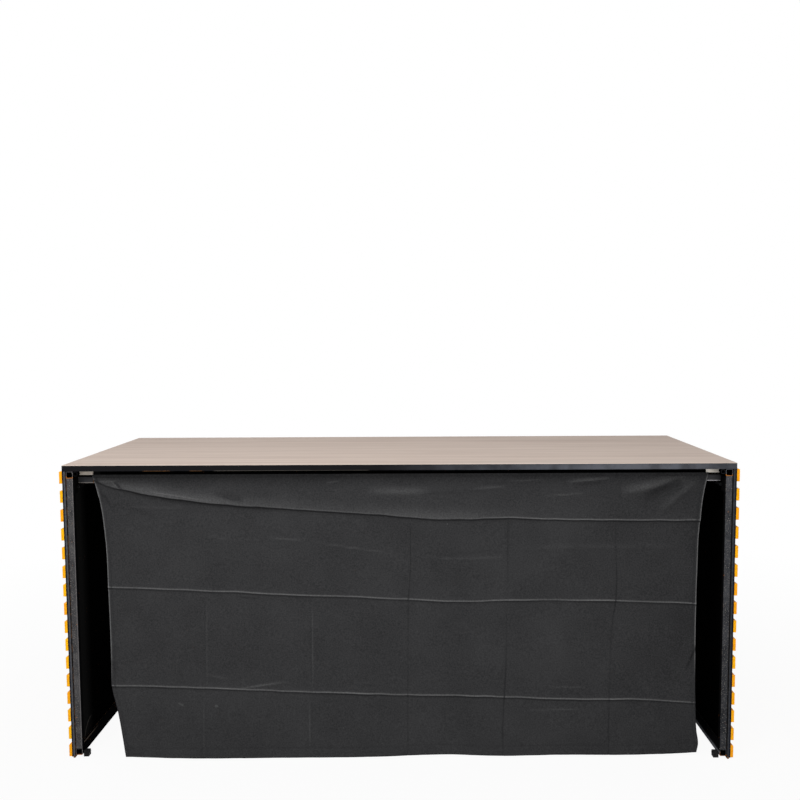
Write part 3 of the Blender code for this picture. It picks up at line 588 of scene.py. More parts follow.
def makeSideBoard(look):
    # Hardboard rolled with black paint: near black, fine scratches, grey cut edge, brown where the floor rubs
    material, tree, shader, place = startMaterial("Black painted board")
    x, y, z = addNode(tree, "SeparateXYZ", [place]).outputs
    turned = addNode(tree, "Mapping", {"Vector": place, "Rotation": look["scratchTurn"],
                                       "Scale": grainScale(*look["scratchSize"])})
    scratch = addNode(tree, "TexNoise", {"Vector": turned, "Scale": 1.0, "Detail": 2.0})
    patches = addNode(tree, "TexNoise", [place, 1000 / look["patch"], 3.0])
    scratched = addNode(tree, "MapRange", [scratch, 0.68, 0.74, 0.0, 0.5])
    patched = addNode(tree, "MapRange", [patches, 0.5, 0.62])
    lines = addNode(tree, "Math", [scratched, patched], operation="MULTIPLY")
    face = boardFace(tree, look, place, x, y, lines)
    reachY = addNode(tree, "Math", [y], operation="ABSOLUTE")
    cutStart, cutFull = halfDepth - look["edgeDepth"], halfDepth - look["edgeDepth"] / 2
    atEdge = addNode(tree, "MapRange", [reachY, cutStart, cutFull, 0.0, 0.85])
    mottle = addNode(tree, "TexNoise", [place, 1000 / look["mottle"], 4.0])
    worn = addNode(tree, "MapRange", [mottle, 0.3, 0.65, 0.55, 1.0])
    edgeShare = addNode(tree, "Math", [atEdge, worn], operation="MULTIPLY")
    onRight = addNode(tree, "Math", [x, 0.0], operation="GREATER_THAN")
    cut = addNode(tree, "Mix", [onRight, look["edge"], look["edgeRight"]], data_type="RGBA")
    edged = addNode(tree, "Mix", [edgeShare, face, cut], data_type="RGBA")
    atFloor = addNode(tree, "MapRange", [z, 0.0, look["floorRub"], 0.45, 0.0])
    rubbed = addNode(tree, "Math", [atFloor, mottle], operation="ADD")
    rubShare = addNode(tree, "MapRange", [rubbed, 0.70, 0.85])
    colour = addNode(tree, "Mix", [rubShare, edged, look["wood"]], data_type="RGBA")
    linkSurface(tree, shader, look, colour, patches, scratch)
    return material


foamTape = {
    "base": "#0b0b0c",
    "glue": "#6e4c2e",
    "glueRight": 0.1,          # share of the glue that shows at the right-hand end
    "cell": 1.6,               # mm
    "dirt": 22,                # mm
    "roughness": (0.8, 0.95),
    "bumpDepth": 0.0003,
    "sockets": {"Specular IOR Level": 0.2},
}


def makeFoamTape(look, name):
    # Foam bonding tape: dead black, open cells, brown glue and dirt in patches; hook tape looks much the same
    material, tree, shader, place = startMaterial(name)
    cells = addNode(tree, "TexNoise", [place, 1000 / look["cell"], 2.0])
    dirt = addNode(tree, "TexNoise", [place, 1000 / look["dirt"], 5.0, 0.7])
    caught = addNode(tree, "MapRange", [dirt, 0.47, 0.62, 0.0, 0.75])
    x = addNode(tree, "SeparateXYZ", [place]).outputs["X"]
    onLeft = addNode(tree, "MapRange", [x, *leftToRight, 1.0, look["glueRight"]])
    share = addNode(tree, "Math", [caught, onLeft], operation="MULTIPLY")
    colour = addNode(tree, "Mix", [share, look["base"], look["glue"]], data_type="RGBA")
    linkSurface(tree, shader, look, colour, cells, cells)
    return material


birch = {
    "pale": "#f0e6da",
    "brown": "#b7a593",
    "litRight": "#fbf4ea",        # painted light: the right-hand blocks are drawn paler, as if lit more
    "litRightShare": 0.8,
    "ply": 1.4,                # mm
    "fibre": (60, 1.2, 1.2),   # mm
    "roughness": (0.7, 0.9),
    "bumpDepth": 0.0003,
    "sockets": {"Specular IOR Level": 0.2},
}


def makeBirchPly(look):
    # Bare birch plywood: dry and pale, dark glue lines between plies, hairy sawn fibres
    material, tree, shader, place = startMaterial("Bare birch plywood")
    x, _, z = addNode(tree, "SeparateXYZ", [place]).outputs
    layers = addNode(tree, "Math", [z, math.pi * 1000 / look["ply"]], operation="MULTIPLY")
    wave = addNode(tree, "Math", [layers], operation="SINE")
    stretched = addNode(tree, "Mapping", {"Vector": place, "Scale": grainScale(*look["fibre"])})
    fibre = addNode(tree, "TexNoise", {"Vector": stretched, "Scale": 1.0, "Detail": 3.0})
    mixed = addNode(tree, "Math", [wave, 0.28, fibre], operation="MULTIPLY_ADD")
    share = addNode(tree, "MapRange", [mixed, 0.35, 0.85])
    aged = addNode(tree, "Mix", [share, look["pale"], look["brown"]], data_type="RGBA")
    # Painted light: paler towards the right-hand blocks
    litRight = addNode(tree, "MapRange", [x, *leftToRight, 0.0, look["litRightShare"]])
    colour = addNode(tree, "Mix", [litRight, aged, look["litRight"]], data_type="RGBA")
    linkSurface(tree, shader, look, colour, fibre, mixed)
    return material


rubber = {
    "base": "#141415",
    "scuff": "#3c3b39",
    "scuffSize": 9,            # mm
    "grit": 2.0,               # mm
    "roughness": (0.7, 0.9),
    "bumpDepth": 0.0003,
    "sockets": {"Specular IOR Level": 0.1},
}


def makeRubber(look):
    # Moulded black rubber: dull, greyed in patches by floor dust
    material, tree, shader, place = startMaterial("Black moulded rubber")
    grit = addNode(tree, "TexNoise", [place, 1000 / look["grit"], 4.0])
    scuffs = addNode(tree, "TexNoise", [place, 1000 / look["scuffSize"], 4.0, 0.7])
    share = addNode(tree, "MapRange", [scuffs, 0.5, 0.7, 0.0, 0.7])
    colour = addNode(tree, "Mix", [share, look["base"], look["scuff"]], data_type="RGBA")
    linkSurface(tree, shader, look, colour, grit, grit)
    return material


blackZinc = {
    "bright": "#1e1f20",
    "dull": "#0d0d0e",
    "spangle": 3.0,            # mm
    "roughness": (0.3, 0.5),
    "bumpDepth": 0.0001,
    "sockets": {"Metallic": 1.0},
}


def makeZinc(look):
    # Zinc plated steel chromated black: dark metal with a soft, patchy bloom
    material, tree, shader, place = startMaterial("Black zinc plated steel")
    bloom = addNode(tree, "TexNoise", [place, 1000 / look["spangle"], 4.0])
    share = addNode(tree, "MapRange", [bloom, 0.4, 0.65])
    colour = addNode(tree, "Mix", [share, look["bright"], look["dull"]], data_type="RGBA")
    linkSurface(tree, shader, look, colour, bloom, bloom)
    return material


clothLook = {
    "yarn": "#3c3c3d",
    "deep": "#262627",
    # crease: pale lines on folds, worn and painted highlight; shade: painted shade in folds
    "crease": "#8c8c8c",
    "shade": "#151516",
    "lint": "#8e8e8e",
    "lintSize": 9,             # mm
    "thread": 4.0,             # mm, drawn coarser than the real 0.5 mm thread so that it shows
    "slub": (30, 3, 30),       # mm
    "cloud": 130,              # mm
    "rightEnd": 0.24,          # how much darker the cloth is at the right-hand end
    "rightX": (0.50, 0.88),    # m, where that starts and where it is full
    "roughness": (0.88, 1.0),
    "bumpDepth": 0.0006,
    "sockets": {"Specular IOR Level": 0.03},
}


def makeClothMaterial(look):
    # Polyester cotton, plain woven and dyed charcoal: matt, even, paler where storage folds have worn it, with
    # painted highlight and shade along the folds
    material, tree, shader, place = startMaterial("Charcoal plain woven cloth")
    weave = addNode(tree, "TexNoise", [place, 1000 / look["thread"], 2.0, 0.6])
    slubs = addNode(tree, "Mapping", {"Vector": place, "Scale": grainScale(*look["slub"])})
    slub = addNode(tree, "TexNoise", {"Vector": slubs, "Scale": 1.0, "Detail": 2.0})
    cloudy = addNode(tree, "TexNoise", [place, 1000 / look["cloud"], 4.0])
    mixed = addNode(tree, "Math", [cloudy, 0.40, weave], operation="MULTIPLY_ADD")
    even = addNode(tree, "MapRange", [mixed, 0.375, 1.025])
    x = addNode(tree, "SeparateXYZ", [place]).outputs["X"]
    deeper = addNode(tree, "MapRange", [x, *look["rightX"], 0.0, look["rightEnd"]])
    share = addNode(tree, "Math", [even, deeper], operation="SUBTRACT", use_clamp=True)
    body = addNode(tree, "Mix", [share, look["deep"], look["yarn"]], data_type="RGBA")
    # Fold wear together with painted highlight and shade, carried by the mesh
    wearAndShading = addNode(tree, "Attribute", attribute_name="creaseWearAndShading").outputs["Fac"]
    broken = addNode(tree, "MapRange", [weave, 0.3, 0.7, 0.6, 1.0])
    creased = addNode(tree, "Math", [wearAndShading, broken], operation="MULTIPLY", use_clamp=True)
    sunk = addNode(tree, "Math", [wearAndShading, -1.0], operation="MULTIPLY", use_clamp=True)
    shaded = addNode(tree, "Mix", [sunk, body, look["shade"]], data_type="RGBA")
    pale = addNode(tree, "Mix", [creased, shaded, look["crease"]], data_type="RGBA")
    specks = addNode(tree, "TexNoise", [place, 1000 / look["lintSize"], 3.0, 0.6])
    lint = addNode(tree, "MapRange", [specks, 0.745, 0.79, 0.0, 0.3])
    colour = addNode(tree, "Mix", [lint, pale, look["lint"]], data_type="RGBA")
    height = addNode(tree, "Math", [weave, slub], operation="ADD")
    linkSurface(tree, shader, look, colour, weave, height)
    return material


slatRun = {
    "count": 16,
    "height": 0.036,
    "lift": 0.0040,            # m, lower edge of the lowest slat
    "top": 0.8815,             # m, upper edge of the highest slat
    "lowest": 0.0036,          # m, no slat reaches below this
    "sag": 0.0070,             # m, how low the middle of the run is set: gaps narrow towards the floor
    "thick": 0.0090,
    "rounding": 0.0009,
    "cuts": 24,                # mesh steps along a slat
    "slip": 0.0004,            # m, how far a slat is set off its mark
    "planed": 0.0006,          # m, how much thinner a slat may be
    "short": 0.0012,           # m, how much shorter at either end
    "wobble": 0.00022,         # m, how far a sawn face strays
    "bend": (5, 3.1, 7.3),     # noise steps per metre, row and side
    "twist": (3, 2.3, 4.1),
    "twistStart": 9,           # steps, so that twist and bend don't follow the same noise
    "bendShare": 1.6,          # bend, in wobbles
    "seed": 11,
}
slatRun["pitch"] = (slatRun["top"] - slatRun["lift"] - slatRun["height"]) / (slatRun["count"] - 1)

finishes = {
    "laminate": makeLaminate(laminate),
    "edgePaint": makeEdgePaint(edgePaint),
    "tubePaint": makeTubePaint(tubePaint, "Black enamelled steel tube"),
    "crossPaint": makeTubePaint(crossPaint, "Black enamelled cross tube"),
    "stripPaint": makeTubePaint(stripPaint, "Black enamelled steel strip"),
    "pine": makePine(pine, slatRun),
    "felt": makeFelt(felt),
    "sideBoard": makeSideBoard(sideBoard),
    "foamTape": makeFoamTape(foamTape, "Black foam bonding tape"),
    "hookTape": makeFoamTape(foamTape, "Black woven hook tape"),
    "birch": makeBirchPly(birch),
    "rubber": makeRubber(rubber),
    "blackZinc": makeZinc(blackZinc),
    "cloth": makeClothMaterial(clothLook),
}

nodeFinish = (
    ("top_laminate", "laminate"),
    ("top_board", "edgePaint"),
    ("_cross_tube", "crossPaint"),
    ("_rail", "tubePaint"),
    ("_post", "tubePaint"),
    ("_stop_sleeve", "stripPaint"),
    ("_pivot_barrel", "stripPaint"),
    ("_stay_upper", "stripPaint"),
    ("_stay_lower", "stripPaint"),
    ("_block", "birch"),
    ("_screw", "blackZinc"),
    ("_pivot_pin", "blackZinc"),
    ("_foot", "rubber"),
    ("_board", "sideBoard"),
    ("_batten", "sideBoard"),
    ("_mount_tape", "foamTape"),
    ("hook_tape", "hookTape"),
)
for nodeName, item in nodes.items():
    for ending, finish in nodeFinish:
        if nodeName.endswith(ending):
            item.data.materials.clear()
            item.data.materials.append(finishes[finish])
            break
print("finishes made:", len(finishes))


def addPiece(name, shape, finish, body, smooth=False):
    mesh = bpy.data.meshes.new(name)
    shape.to_mesh(mesh)
    shape.free()
    mesh.materials.append(finishes[finish])
    piece = bpy.data.objects.new(name, mesh)
    scene.collection.objects.link(piece)
    if smooth:
        mesh.shade_smooth()
    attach(piece, body)
    return piece


def cutAcross(shape, at, direction):
    everything = shape.verts[:] + shape.edges[:] + shape.faces[:]
    bmesh.ops.bisect_plane(shape, geom=everything, plane_co=at, plane_no=direction)


def boxShape(low, high, cuts=(1, 1, 1)):
    # A box divided evenly along each axis
    shape = bmesh.new()
    size = Vector(high) - Vector(low)
    middle = (Vector(high) + Vector(low)) / 2
    bmesh.ops.create_cube(shape, size=1.0, matrix=Matrix.Translation(middle) @ Matrix.Diagonal((*size, 1.0)))
    for axis in range(3):
        for step in range(1, cuts[axis]):
            at = Vector(low)
            at[axis] += size[axis] * step / cuts[axis]
            cutAcross(shape, at, Vector((axis == 0, axis == 1, axis == 2)))
    return shape


def makeSlats(sideName, side, run):
    rng = random.Random(run["seed"] + side)
    for row in range(run["count"]):
        sag = run["sag"] * math.sin(math.pi * row / (run["count"] - 1))
        bottom = run["lift"] + row * run["pitch"] - sag + rng.uniform(-run["slip"], run["slip"])
        thick = run["thick"] - rng.uniform(0.0, run["planed"])
        front = -halfDepth + rng.uniform(0.0, run["short"])
        rear = halfDepth - rng.uniform(0.0, run["short"])
        near, far = sorted((side * halfLength, side * (halfLength + thick)))
        top = min(bottom + run["height"], run["top"])
        shape = boxShape((near, front, max(bottom, run["lowest"])), (far, rear, top))
        bmesh.ops.bevel(shape, geom=shape.edges[:], offset=run["rounding"], segments=2, profile=0.5,
                        affect="EDGES")
        for step in range(1, run["cuts"]):
            cutAcross(shape, Vector((0, front + (rear - front) * step / run["cuts"], 0)), Vector((0, 1, 0)))
        bendY, bendRow, bendSide = run["bend"]
        twistY, twistRow, twistSide = run["twist"]
        for vert in shape.verts:  # a sawn strip is never quite straight
            bendAt = Vector((vert.co.y * bendY, row * bendRow, side * bendSide))
            twistAt = Vector((vert.co.y * twistY, row * twistRow + run["twistStart"], side * twistSide))
            vert.co.z += run["wobble"] * run["bendShare"] * noise.noise(bendAt)
            if abs(vert.co.x) > halfLength + thick / 2:
                vert.co.x -= side * run["wobble"] * (0.5 + 0.5 * noise.noise(twistAt))
        slat = addPiece(f"{sideName}Slat{row + 1:02d}", shape, "pine", sideName + "_side")
        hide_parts(sideName + "_slat_panel")


feltBack = {
    "fuzz": 0.00025,           # m
    "cuts": (1, 30, 60),
    "boardGap": 0.0003,        # m off the board
    "slatGap": 0.00015,        # m off the slats
    "inset": 0.0004,           # m behind the board's ends
    "edge": 0.001,             # m, what counts as the cut edge
    "fuzzPace": 60,            # noise steps per metre on the face
    "edgePace": 140,           # and on the cut edge
}


def makeFeltBack(sideName, side, look):
    panel = sideName + "_slat_panel"
    low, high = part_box(panel)
    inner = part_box(sideName + "_board")[0 if side < 0 else 1].x + side * look["boardGap"]
    near, far = sorted((inner, side * (halfLength - look["slatGap"])))
    front, rear = low.y + look["inset"], high.y - look["inset"]
    shape = boxShape((near, front, low.z), (far, rear, high.z), look["cuts"])
    middle = (near + far) / 2
    for vert in shape.verts:
        if (vert.co.x - middle) * side > 0:
            vert.co.x -= side * look["fuzz"] * (1 + noise.noise(vert.co * look["fuzzPace"]))
        if abs(vert.co.y) > halfDepth - look["edge"]:
            fray = look["fuzz"] * 2 * (1 + noise.noise(vert.co * look["edgePace"]))
            vert.co.y -= math.copysign(fray, vert.co.y)
    piece = addPiece(sideName + "Felt", shape, "felt", sideName + "_side")
    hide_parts(panel)


weldBead = {
    "radius": 0.0017,
    "step": 0.0011,
    "ripple": 0.28,
    "uneven": 0.12,
    "endTaper": 0.35,          # radius at the first and last ring, as a share
    "flatten": 0.55,           # how far the bead stands out, as a share of its height
    "sides": 7,
    "tube": 0.020,             # m, the posts' tube
    "endGap": 0.002,           # m, bare at either end of a bead along a post's inner face
    "seed": 5,
}


def layBead(shape, start, end, look, rng):
    # A closed string of rings that swell in ripples
    length = (end - start).length
    count = int(length / look["step"])
    direction = (end - start) / length
    across = direction.cross(Vector((0, 0, 1)))
    rings = []
    for i in range(count + 1):
        swell = 1 + look["ripple"] * (i % 2) + rng.uniform(-look["uneven"], look["uneven"])
        radius = look["radius"] * swell * (look["endTaper"] if i in (0, count) else 1.0)
        centre = start + direction * (length * i / count)
        ring = []
        for k in range(look["sides"]):
            angle = math.tau * k / look["sides"]
            outwards = across * (radius * look["flatten"] * math.cos(angle))
            upwards = Vector((0, 0, radius * math.sin(angle)))
            ring.append(shape.verts.new(centre + outwards + upwards))
        rings.append(ring)
    for first, second in zip(rings, rings[1:]):
        for k in range(look["sides"]):
            j = (k + 1) % look["sides"]
            shape.faces.new((first[k], first[j], second[j], second[k]))
    shape.faces.new(rings[0][::-1])
    shape.faces.new(rings[-1])


def makeWelds(sideName, side, look):
    # Beads where posts meet rails: along the inner face, and across the faces away from the open ends
    rng = random.Random(look["seed"] + side)
    shape = bmesh.new()
    railLow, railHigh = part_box(sideName + "_top_rail")
    tubeIn, tubeOut = (railHigh.x, railLow.x) if side < 0 else (railLow.x, railHigh.x)
    half = look["tube"] / 2
    postMiddles = {"front": half - halfDepth, "middle": 0.0, "rear": halfDepth - half}
    for post, middle in postMiddles.items():
        low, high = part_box(f"{sideName}_{post}_post")
        near, far = middle - half, middle + half
        runs = [((tubeIn, near + look["endGap"]), (tubeIn, far - look["endGap"]))]
        if post != "front":
            runs.append(((tubeOut, near), (tubeIn, near)))
        if post != "rear":
            runs.append(((tubeOut, far), (tubeIn, far)))
        for z in (low.z, high.z):
            for start, end in runs:
                layBead(shape, Vector((*start, z)), Vector((*end, z)), look, rng)
    bmesh.ops.recalc_face_normals(shape, faces=shape.faces[:])
    addPiece(sideName + "FrameWelds", shape, "tubePaint", sideName + "_side", True)


for sideName, side in sides:
    makeSlats(sideName, side, slatRun)
    makeFeltBack(sideName, side, feltBack)
    makeWelds(sideName, side, weldBead)
print("slats, felt and welds made")


clothHang = {
    "topZ": 0.8664,
    "tapedDepth": 0.024,       # m, strip pressed on the hook tape
    "release": (0.6, 0.05),    # share of that strip where the cloth starts to stand free, m over which it does
    "backY": -0.3580,
    "standOff": 0.0002,
    "thick": 0.0009,
    "flatWidths": (0.955, 0.895),  # m, left and right sheets laid flat
    "rows": (46, 68, 66, 54),  # mesh rows between top, swag, upper level, lower level and hem
    "columns": 74,             # mesh columns between two upright creases
    "crowding": (0.3, 0.7),    # shares of even spacing, and of lines drawn to the creases
    "firstHem": 0.005,         # m, level hem that the mesh starts from
    "settling": 4,             # rounds in which mesh rows and columns follow each other
    "leftEdge": (              # z, x in m
        (0.002, -0.835), (0.14, -0.857), (0.22, -0.8745), (0.30, -0.876), (0.52, -0.8805), (0.67, -0.886),
        (0.81, -0.907), (0.866, -0.924)),
    "rightEdge": (
        (0.011, 0.9035), (0.036, 0.9085), (0.08, 0.903), (0.165, 0.8985), (0.33, 0.8965), (0.57, 0.8995),
        (0.69, 0.903), (0.81, 0.917), (0.866, 0.929)),
    "hemY": (                  # x, y in m
        (-0.84, -0.396), (-0.60, -0.410), (-0.24, -0.401), (0.03, -0.388), (0.46, -0.382), (0.90, -0.376)),
    "hemZ": (                  # x, z in m
        (-0.84, 0.002), (-0.60, 0.004), (-0.35, 0.004), (-0.07, 0.002), (0.15, 0.006), (0.29, 0.002),
        (0.53, 0.004), (0.77, 0.004), (0.86, 0.008), (0.90, 0.011)),
    "swells": ((0.0020, 0.42), (0.0006, 0.11), (0.0002, 0.03)),  # m deep, m from wave to wave
    "uprights": (              # path of each crease as z, x; depth in m; how pale or dark the line is: painted highlight where pale, painted shade where dark
        (((0.0, -0.592), (0.17, -0.592), (0.24, -0.581), (0.48, -0.580)), 0.0002, 0.0),
        (((0.0, -0.2705), (0.17, -0.2705), (0.24, -0.262), (0.48, -0.260)), 0.0002, 0.0),
        (((0.0, 0.026), (0.35, 0.029), (0.48, 0.031), (0.58, 0.037), (0.72, 0.039)), -0.0009, -0.30),
        (((0.0, 0.315), (0.15, 0.318), (0.22, 0.323), (0.33, 0.326), (0.48, 0.330), (0.72, 0.332)),
         -0.0013, -0.45),
        (((0.0, 0.636), (0.30, 0.641), (0.40, 0.645), (0.455, 0.654), (0.72, 0.652)), -0.0013, -0.45),
    ),
    "uprightWander": (0.0008, 0.10, 30),  # m aside, m from wave to wave, seed
    "uprightStrength": (0.7, 0.5, 0.20, 40),  # usual, how much it varies, m from wave to wave, seed
    "uprightLimits": (0.0, 1.3),
    "uprightFade": 0.05,       # m under the swag
    "uprightReach": 0.004,     # m to either side
    "uprightWidth": 0.0021,
    "levels": (                # x, z in m
        ((-0.93, 0.525), (-0.60, 0.514), (-0.33, 0.501), (0.0, 0.486), (0.16, 0.477), (0.31, 0.480),
         (0.65, 0.478), (0.93, 0.467)),
        ((-0.93, 0.222), (-0.73, 0.220), (-0.51, 0.216), (-0.33, 0.207), (0.0, 0.192), (0.31, 0.185),
         (0.46, 0.178), (0.76, 0.173), (0.93, 0.163)),
    ),
    "levelDepth": 0.0028,
    "levelWander": (0.0010, 0.12, 10),
    "levelStrength": (0.85, 0.25, 0.25, 20),
    "levelReach": (0.008, 0.0032),   # m above and below
    "levelPale": (0.42, 0.0012, 0.0019),  # painted highlight: how pale, m above the crease, m wide
    # painted shade under the crease: how dark, m above the crease, m wide
    "levelDark": (-0.45, -0.0038, 0.0024),
    "swag": (                  # x, z in m
        (-0.93, 0.857), (-0.89, 0.838), (-0.80, 0.817), (-0.55, 0.780), (-0.33, 0.763), (0.0, 0.739),
        (0.06, 0.733), (0.22, 0.729), (0.31, 0.732), (0.47, 0.727), (0.93, 0.722)),
    "swagDepth": (
        (-0.93, 0.003), (-0.85, 0.011), (-0.65, 0.0140), (-0.45, 0.0115), (-0.20, 0.0080), (0.10, 0.0072),
        (0.45, 0.0058), (0.92, 0.0050)),
    "swagWander": (0.0008, 0.09, 50),
    "swagReach": (0.070, 0.0055),  # m above and below
    "swagRound": 1.5,          # power by which the bulge dies away above
    "swagSheen": (             # x in m, how pale the bulge over the swag is
        (-0.93, 0.06), (-0.80, 0.15), (-0.60, 0.17), (-0.42, 0.10), (-0.20, 0.05), (0.08, 0.13),
        (0.20, 0.11), (0.33, 0.04), (0.92, 0.02)),
    "swagSheenWidth": 0.024,
    "swagLine": (              # x in m, how pale the painted highlight along its edge is
        (-0.93, 0.0), (-0.45, 0.02), (-0.20, 0.14), (0.05, 0.05), (0.18, 0.06), (0.30, 0.26), (0.92, 0.30)),
    "swagLineAt": (0.0014, 0.0020),  # m above the swag, m wide
    # painted shade under the swag: how dark, m above the swag, m wide
    "swagDark": (-0.5, -0.0030, 0.0024),
    "folds": {                 # ends as x, z in m; spread above and below and depth in mm; how pale or dark, as painted highlight and painted shade on the folds
        "corner ridge": ((-0.905, 0.845), (-0.850, 0.846), 4, 3, 4, 0.12),
        "pucker ridge": ((-0.866, 0.846), (-0.838, 0.823), 4, 3, 3, 0.10),
        "pucker line": ((-0.856, 0.843), (-0.830, 0.820), 2.2, 2.2, -3, -0.45),
        "doubled ridge": ((-0.75, 0.816), (-0.59, 0.790), 2.5, 1.5, 2.5, 0.15),
        "slack over the swag": ((-0.555, 0.812), (-0.465, 0.785), 12, 8, -4, -0.15),
        "outer left pull": ((-0.900, 0.820), (-0.877, 0.768), 3.5, 3.5, -2.5, -0.25),
        "inner left pull": ((-0.890, 0.808), (-0.860, 0.750), 3.5, 3.5, -2.5, -0.25),
        "left edge roll": ((-0.912, 0.838), (-0.898, 0.790), 6, 6, 3, 0.10),
        "hairline under the swag": ((-0.840, 0.770), (-0.640, 0.763), 2.5, 2, 1.2, 0.06),
        "dip under the swag": ((-0.840, 0.768), (-0.715, 0.728), 8, 8, -2, -0.08),
        "short hairline": ((-0.575, 0.681), (-0.515, 0.670), 2.5, 2, 0.8, 0.08),
        "hairline left of the middle": ((-0.400, 0.676), (-0.285, 0.665), 2.5, 2, 0.8, 0.09),
        "long hairline": ((-0.257, 0.660), (-0.018, 0.625), 2.5, 2, 0.8, 0.08),
        "top hairline": ((-0.215, 0.838), (-0.175, 0.845), 2.5, 2, 1.2, 0.12),
        "middle bulge": ((-0.090, 0.813), (0.103, 0.810), 14, 10, 4.5, 0.12),
        "middle slack": ((0.050, 0.807), (0.313, 0.821), 10, 5, 3, -0.05),
        "slack sheen": ((0.216, 0.816), (0.326, 0.827), 7, 3, 2, 0.10),
        "slack shade": ((0.255, 0.834), (0.335, 0.836), 4, 4, -1.5, -0.18),
        "upper hairline": ((0.331, 0.842), (0.440, 0.847), 2.5, 2, 1.2, 0.10),
        "soft level": ((0.110, 0.609), (0.325, 0.611), 3, 2.5, 1.0, 0.07),
        "soft level shade": ((0.115, 0.617), (0.320, 0.626), 7, 5, -1.5, -0.07),
        "low soft level": ((0.350, 0.640), (0.860, 0.645), 7, 6, 1.6, 0.03),
        "taped edge tuck": ((0.510, 0.838), (0.635, 0.849), 7, 3, 7, 0.18),
        "tuck shade": ((0.520, 0.829), (0.625, 0.839), 6, 6, -3, -0.30),
        "right hairline": ((0.442, 0.797), (0.559, 0.805), 2.5, 2, 1.2, 0.12),
        "upper right pull": ((0.670, 0.808), (0.870, 0.855), 16, 12, 9, 0.15),
        "right hollow": ((0.740, 0.782), (0.850, 0.842), 13, 13, -8, -0.32),
        "lower right pull": ((0.785, 0.750), (0.900, 0.850), 15, 11, 7, 0.06),
        "right edge tuck": ((0.868, 0.262), (0.900, 0.340), 3, 3, -3.5, -0.65),
        "dash under the upper level": ((-0.495, 0.497), (-0.415, 0.491), 3, 2, 2, -0.30),
        "lower level branch": ((-0.480, 0.217), (-0.345, 0.236), 2.5, 2, 1.8, 0.20),
        "left scratch": ((-0.670, 0.170), (-0.653, 0.164), 2.2, 2.2, 0.6, 0.22),
        "right scratch": ((-0.558, 0.160), (-0.549, 0.166), 2.2, 2.2, 0.6, 0.30),
        "arc over the lower level": ((-0.592, 0.262), (-0.515, 0.246), 3, 3, 0.8, 0.06),
        "left edge bend": ((-0.874, 0.297), (-0.863, 0.256), 4, 4, -2, -0.25),
        "first crease": ((-0.5805, 0.205), (-0.5800, 0.490), 2, 2, 0.4, 0.05),
        "first crease low": ((-0.592, 0.010), (-0.592, 0.190), 2, 2, 0.4, 0.05),
        "second crease": ((-0.2605, 0.205), (-0.2600, 0.480), 2, 2, 0.4, 0.08),
        "second crease low": ((-0.2705, 0.010), (-0.2705, 0.190), 2, 2, 0.4, 0.07),
        "first crease shade": ((-0.587, 0.205), (-0.587, 0.490), 2, 2, -0.4, -0.08),
        "first crease shade low": ((-0.586, 0.010), (-0.586, 0.190), 2, 2, -0.4, -0.08),
        "second crease shade": ((-0.2655, 0.205), (-0.2655, 0.480), 2, 2, -0.4, -0.12),
        "second crease shade low": ((-0.2645, 0.010), (-0.2645, 0.190), 2, 2, -0.4, -0.10),
        "hairline over the lower level": ((0.453, 0.214), (0.568, 0.213), 2.5, 2, 0.8, 0.08),
        "hairline under the lower level": ((0.386, 0.142), (0.565, 0.145), 2.5, 2, 0.8, 0.08),
    },
    "foldTaper": 0.6,          # power of the sine along a fold: lower is blunter at its ends
    "sideHem": 0.010,
    "bottomHem": 0.030,
    "hemStep": 0.0007,
    "hemSlope": 0.003,         # m, over which the turned hem steps up
    "hemSeam": (-0.20, 0.0025),  # how dark, m wide
    "rimReach": (0.0042, 0.0030),  # m from the edge, where its own tone ends, and over how far
    "sideTone": (-0.40, 0.85, 0.12, 0.25),  # painted shade by the floor, how much paler above as painted highlight, from which z, over how far
    "hemTone": (-0.30, -0.30, 0.20, 60),  # painted shade along the bottom rim: usual, how much it varies, m from wave to wave, seed
    "stitchAt": (0.008, 0.0016),  # m under the top, m wide
    "stitchTone": (0.7, 0.3, 0.016),  # usual, how much it varies, m from stitch to stitch
    "stitchDark": 0.22,
    "toneFade": 0.012,         # m under the top, over which wear and painted highlight and shade set in
}


def along(table, value):
    # Smooth curve through a table of points, level beyond its ends
    xs, ys = np.array(table).T
    slopes = np.gradient(ys, xs)
    value = np.clip(value, xs[0], xs[-1])
    i = np.clip(np.searchsorted(xs, value) - 1, 0, len(xs) - 2)
    span = xs[i + 1] - xs[i]
    u = (value - xs[i]) / span
    return (ys[i] * (2 * u ** 3 - 3 * u ** 2 + 1) + ys[i + 1] * (3 * u ** 2 - 2 * u ** 3)
            + span * (slopes[i] * (u ** 3 - 2 * u ** 2 + u) + slopes[i + 1] * (u ** 3 - u ** 2)))


def ease(value):
    value = np.clip(value, 0.0, 1.0)
    return value * value * (3 - 2 * value)


def stripe(gap, tone, at, width):
    return tone * np.exp(-((gap - at) / width) ** 2)  # a soft line, strongest where the gap is at


def ripple(x, z, swell, seed):
    # Gentle unevenness from crossing waves, about -1 to 1; swell is the usual wave in m
    rng = random.Random(seed)
    waves = 8
    total = 0.0
    for _ in range(waves):
        turn = rng.uniform(0, math.tau)
        pace = rng.uniform(0.6, 1.5) * math.tau / swell
        start = rng.uniform(0, math.tau)
        total = total + np.sin((x * math.cos(turn) + z * math.sin(turn)) * pace + start)
    return total / (waves / 2)


def addLevels(look, x, z, forward, wearAndShading):
    # Storage creases that run across the cloth, with a painted highlight above each and painted shade under it
    aside, wave, seed = look["levelWander"]
    usual, varied, strengthWave, strengthSeed = look["levelStrength"]
    above, below = look["levelReach"]
    for number, line in enumerate(look["levels"]):
        gap = z - along(line, x) - aside * ripple(x, 0.0, wave, seed + number)
        strength = usual + varied * ripple(x, 0.0, strengthWave, strengthSeed + number)
        bulge = np.where(gap > 0, np.exp(-gap / above), np.exp(gap / below))
        forward += look["levelDepth"] * strength * bulge
        wearAndShading += strength * (stripe(gap, *look["levelPale"]) + stripe(gap, *look["levelDark"]))


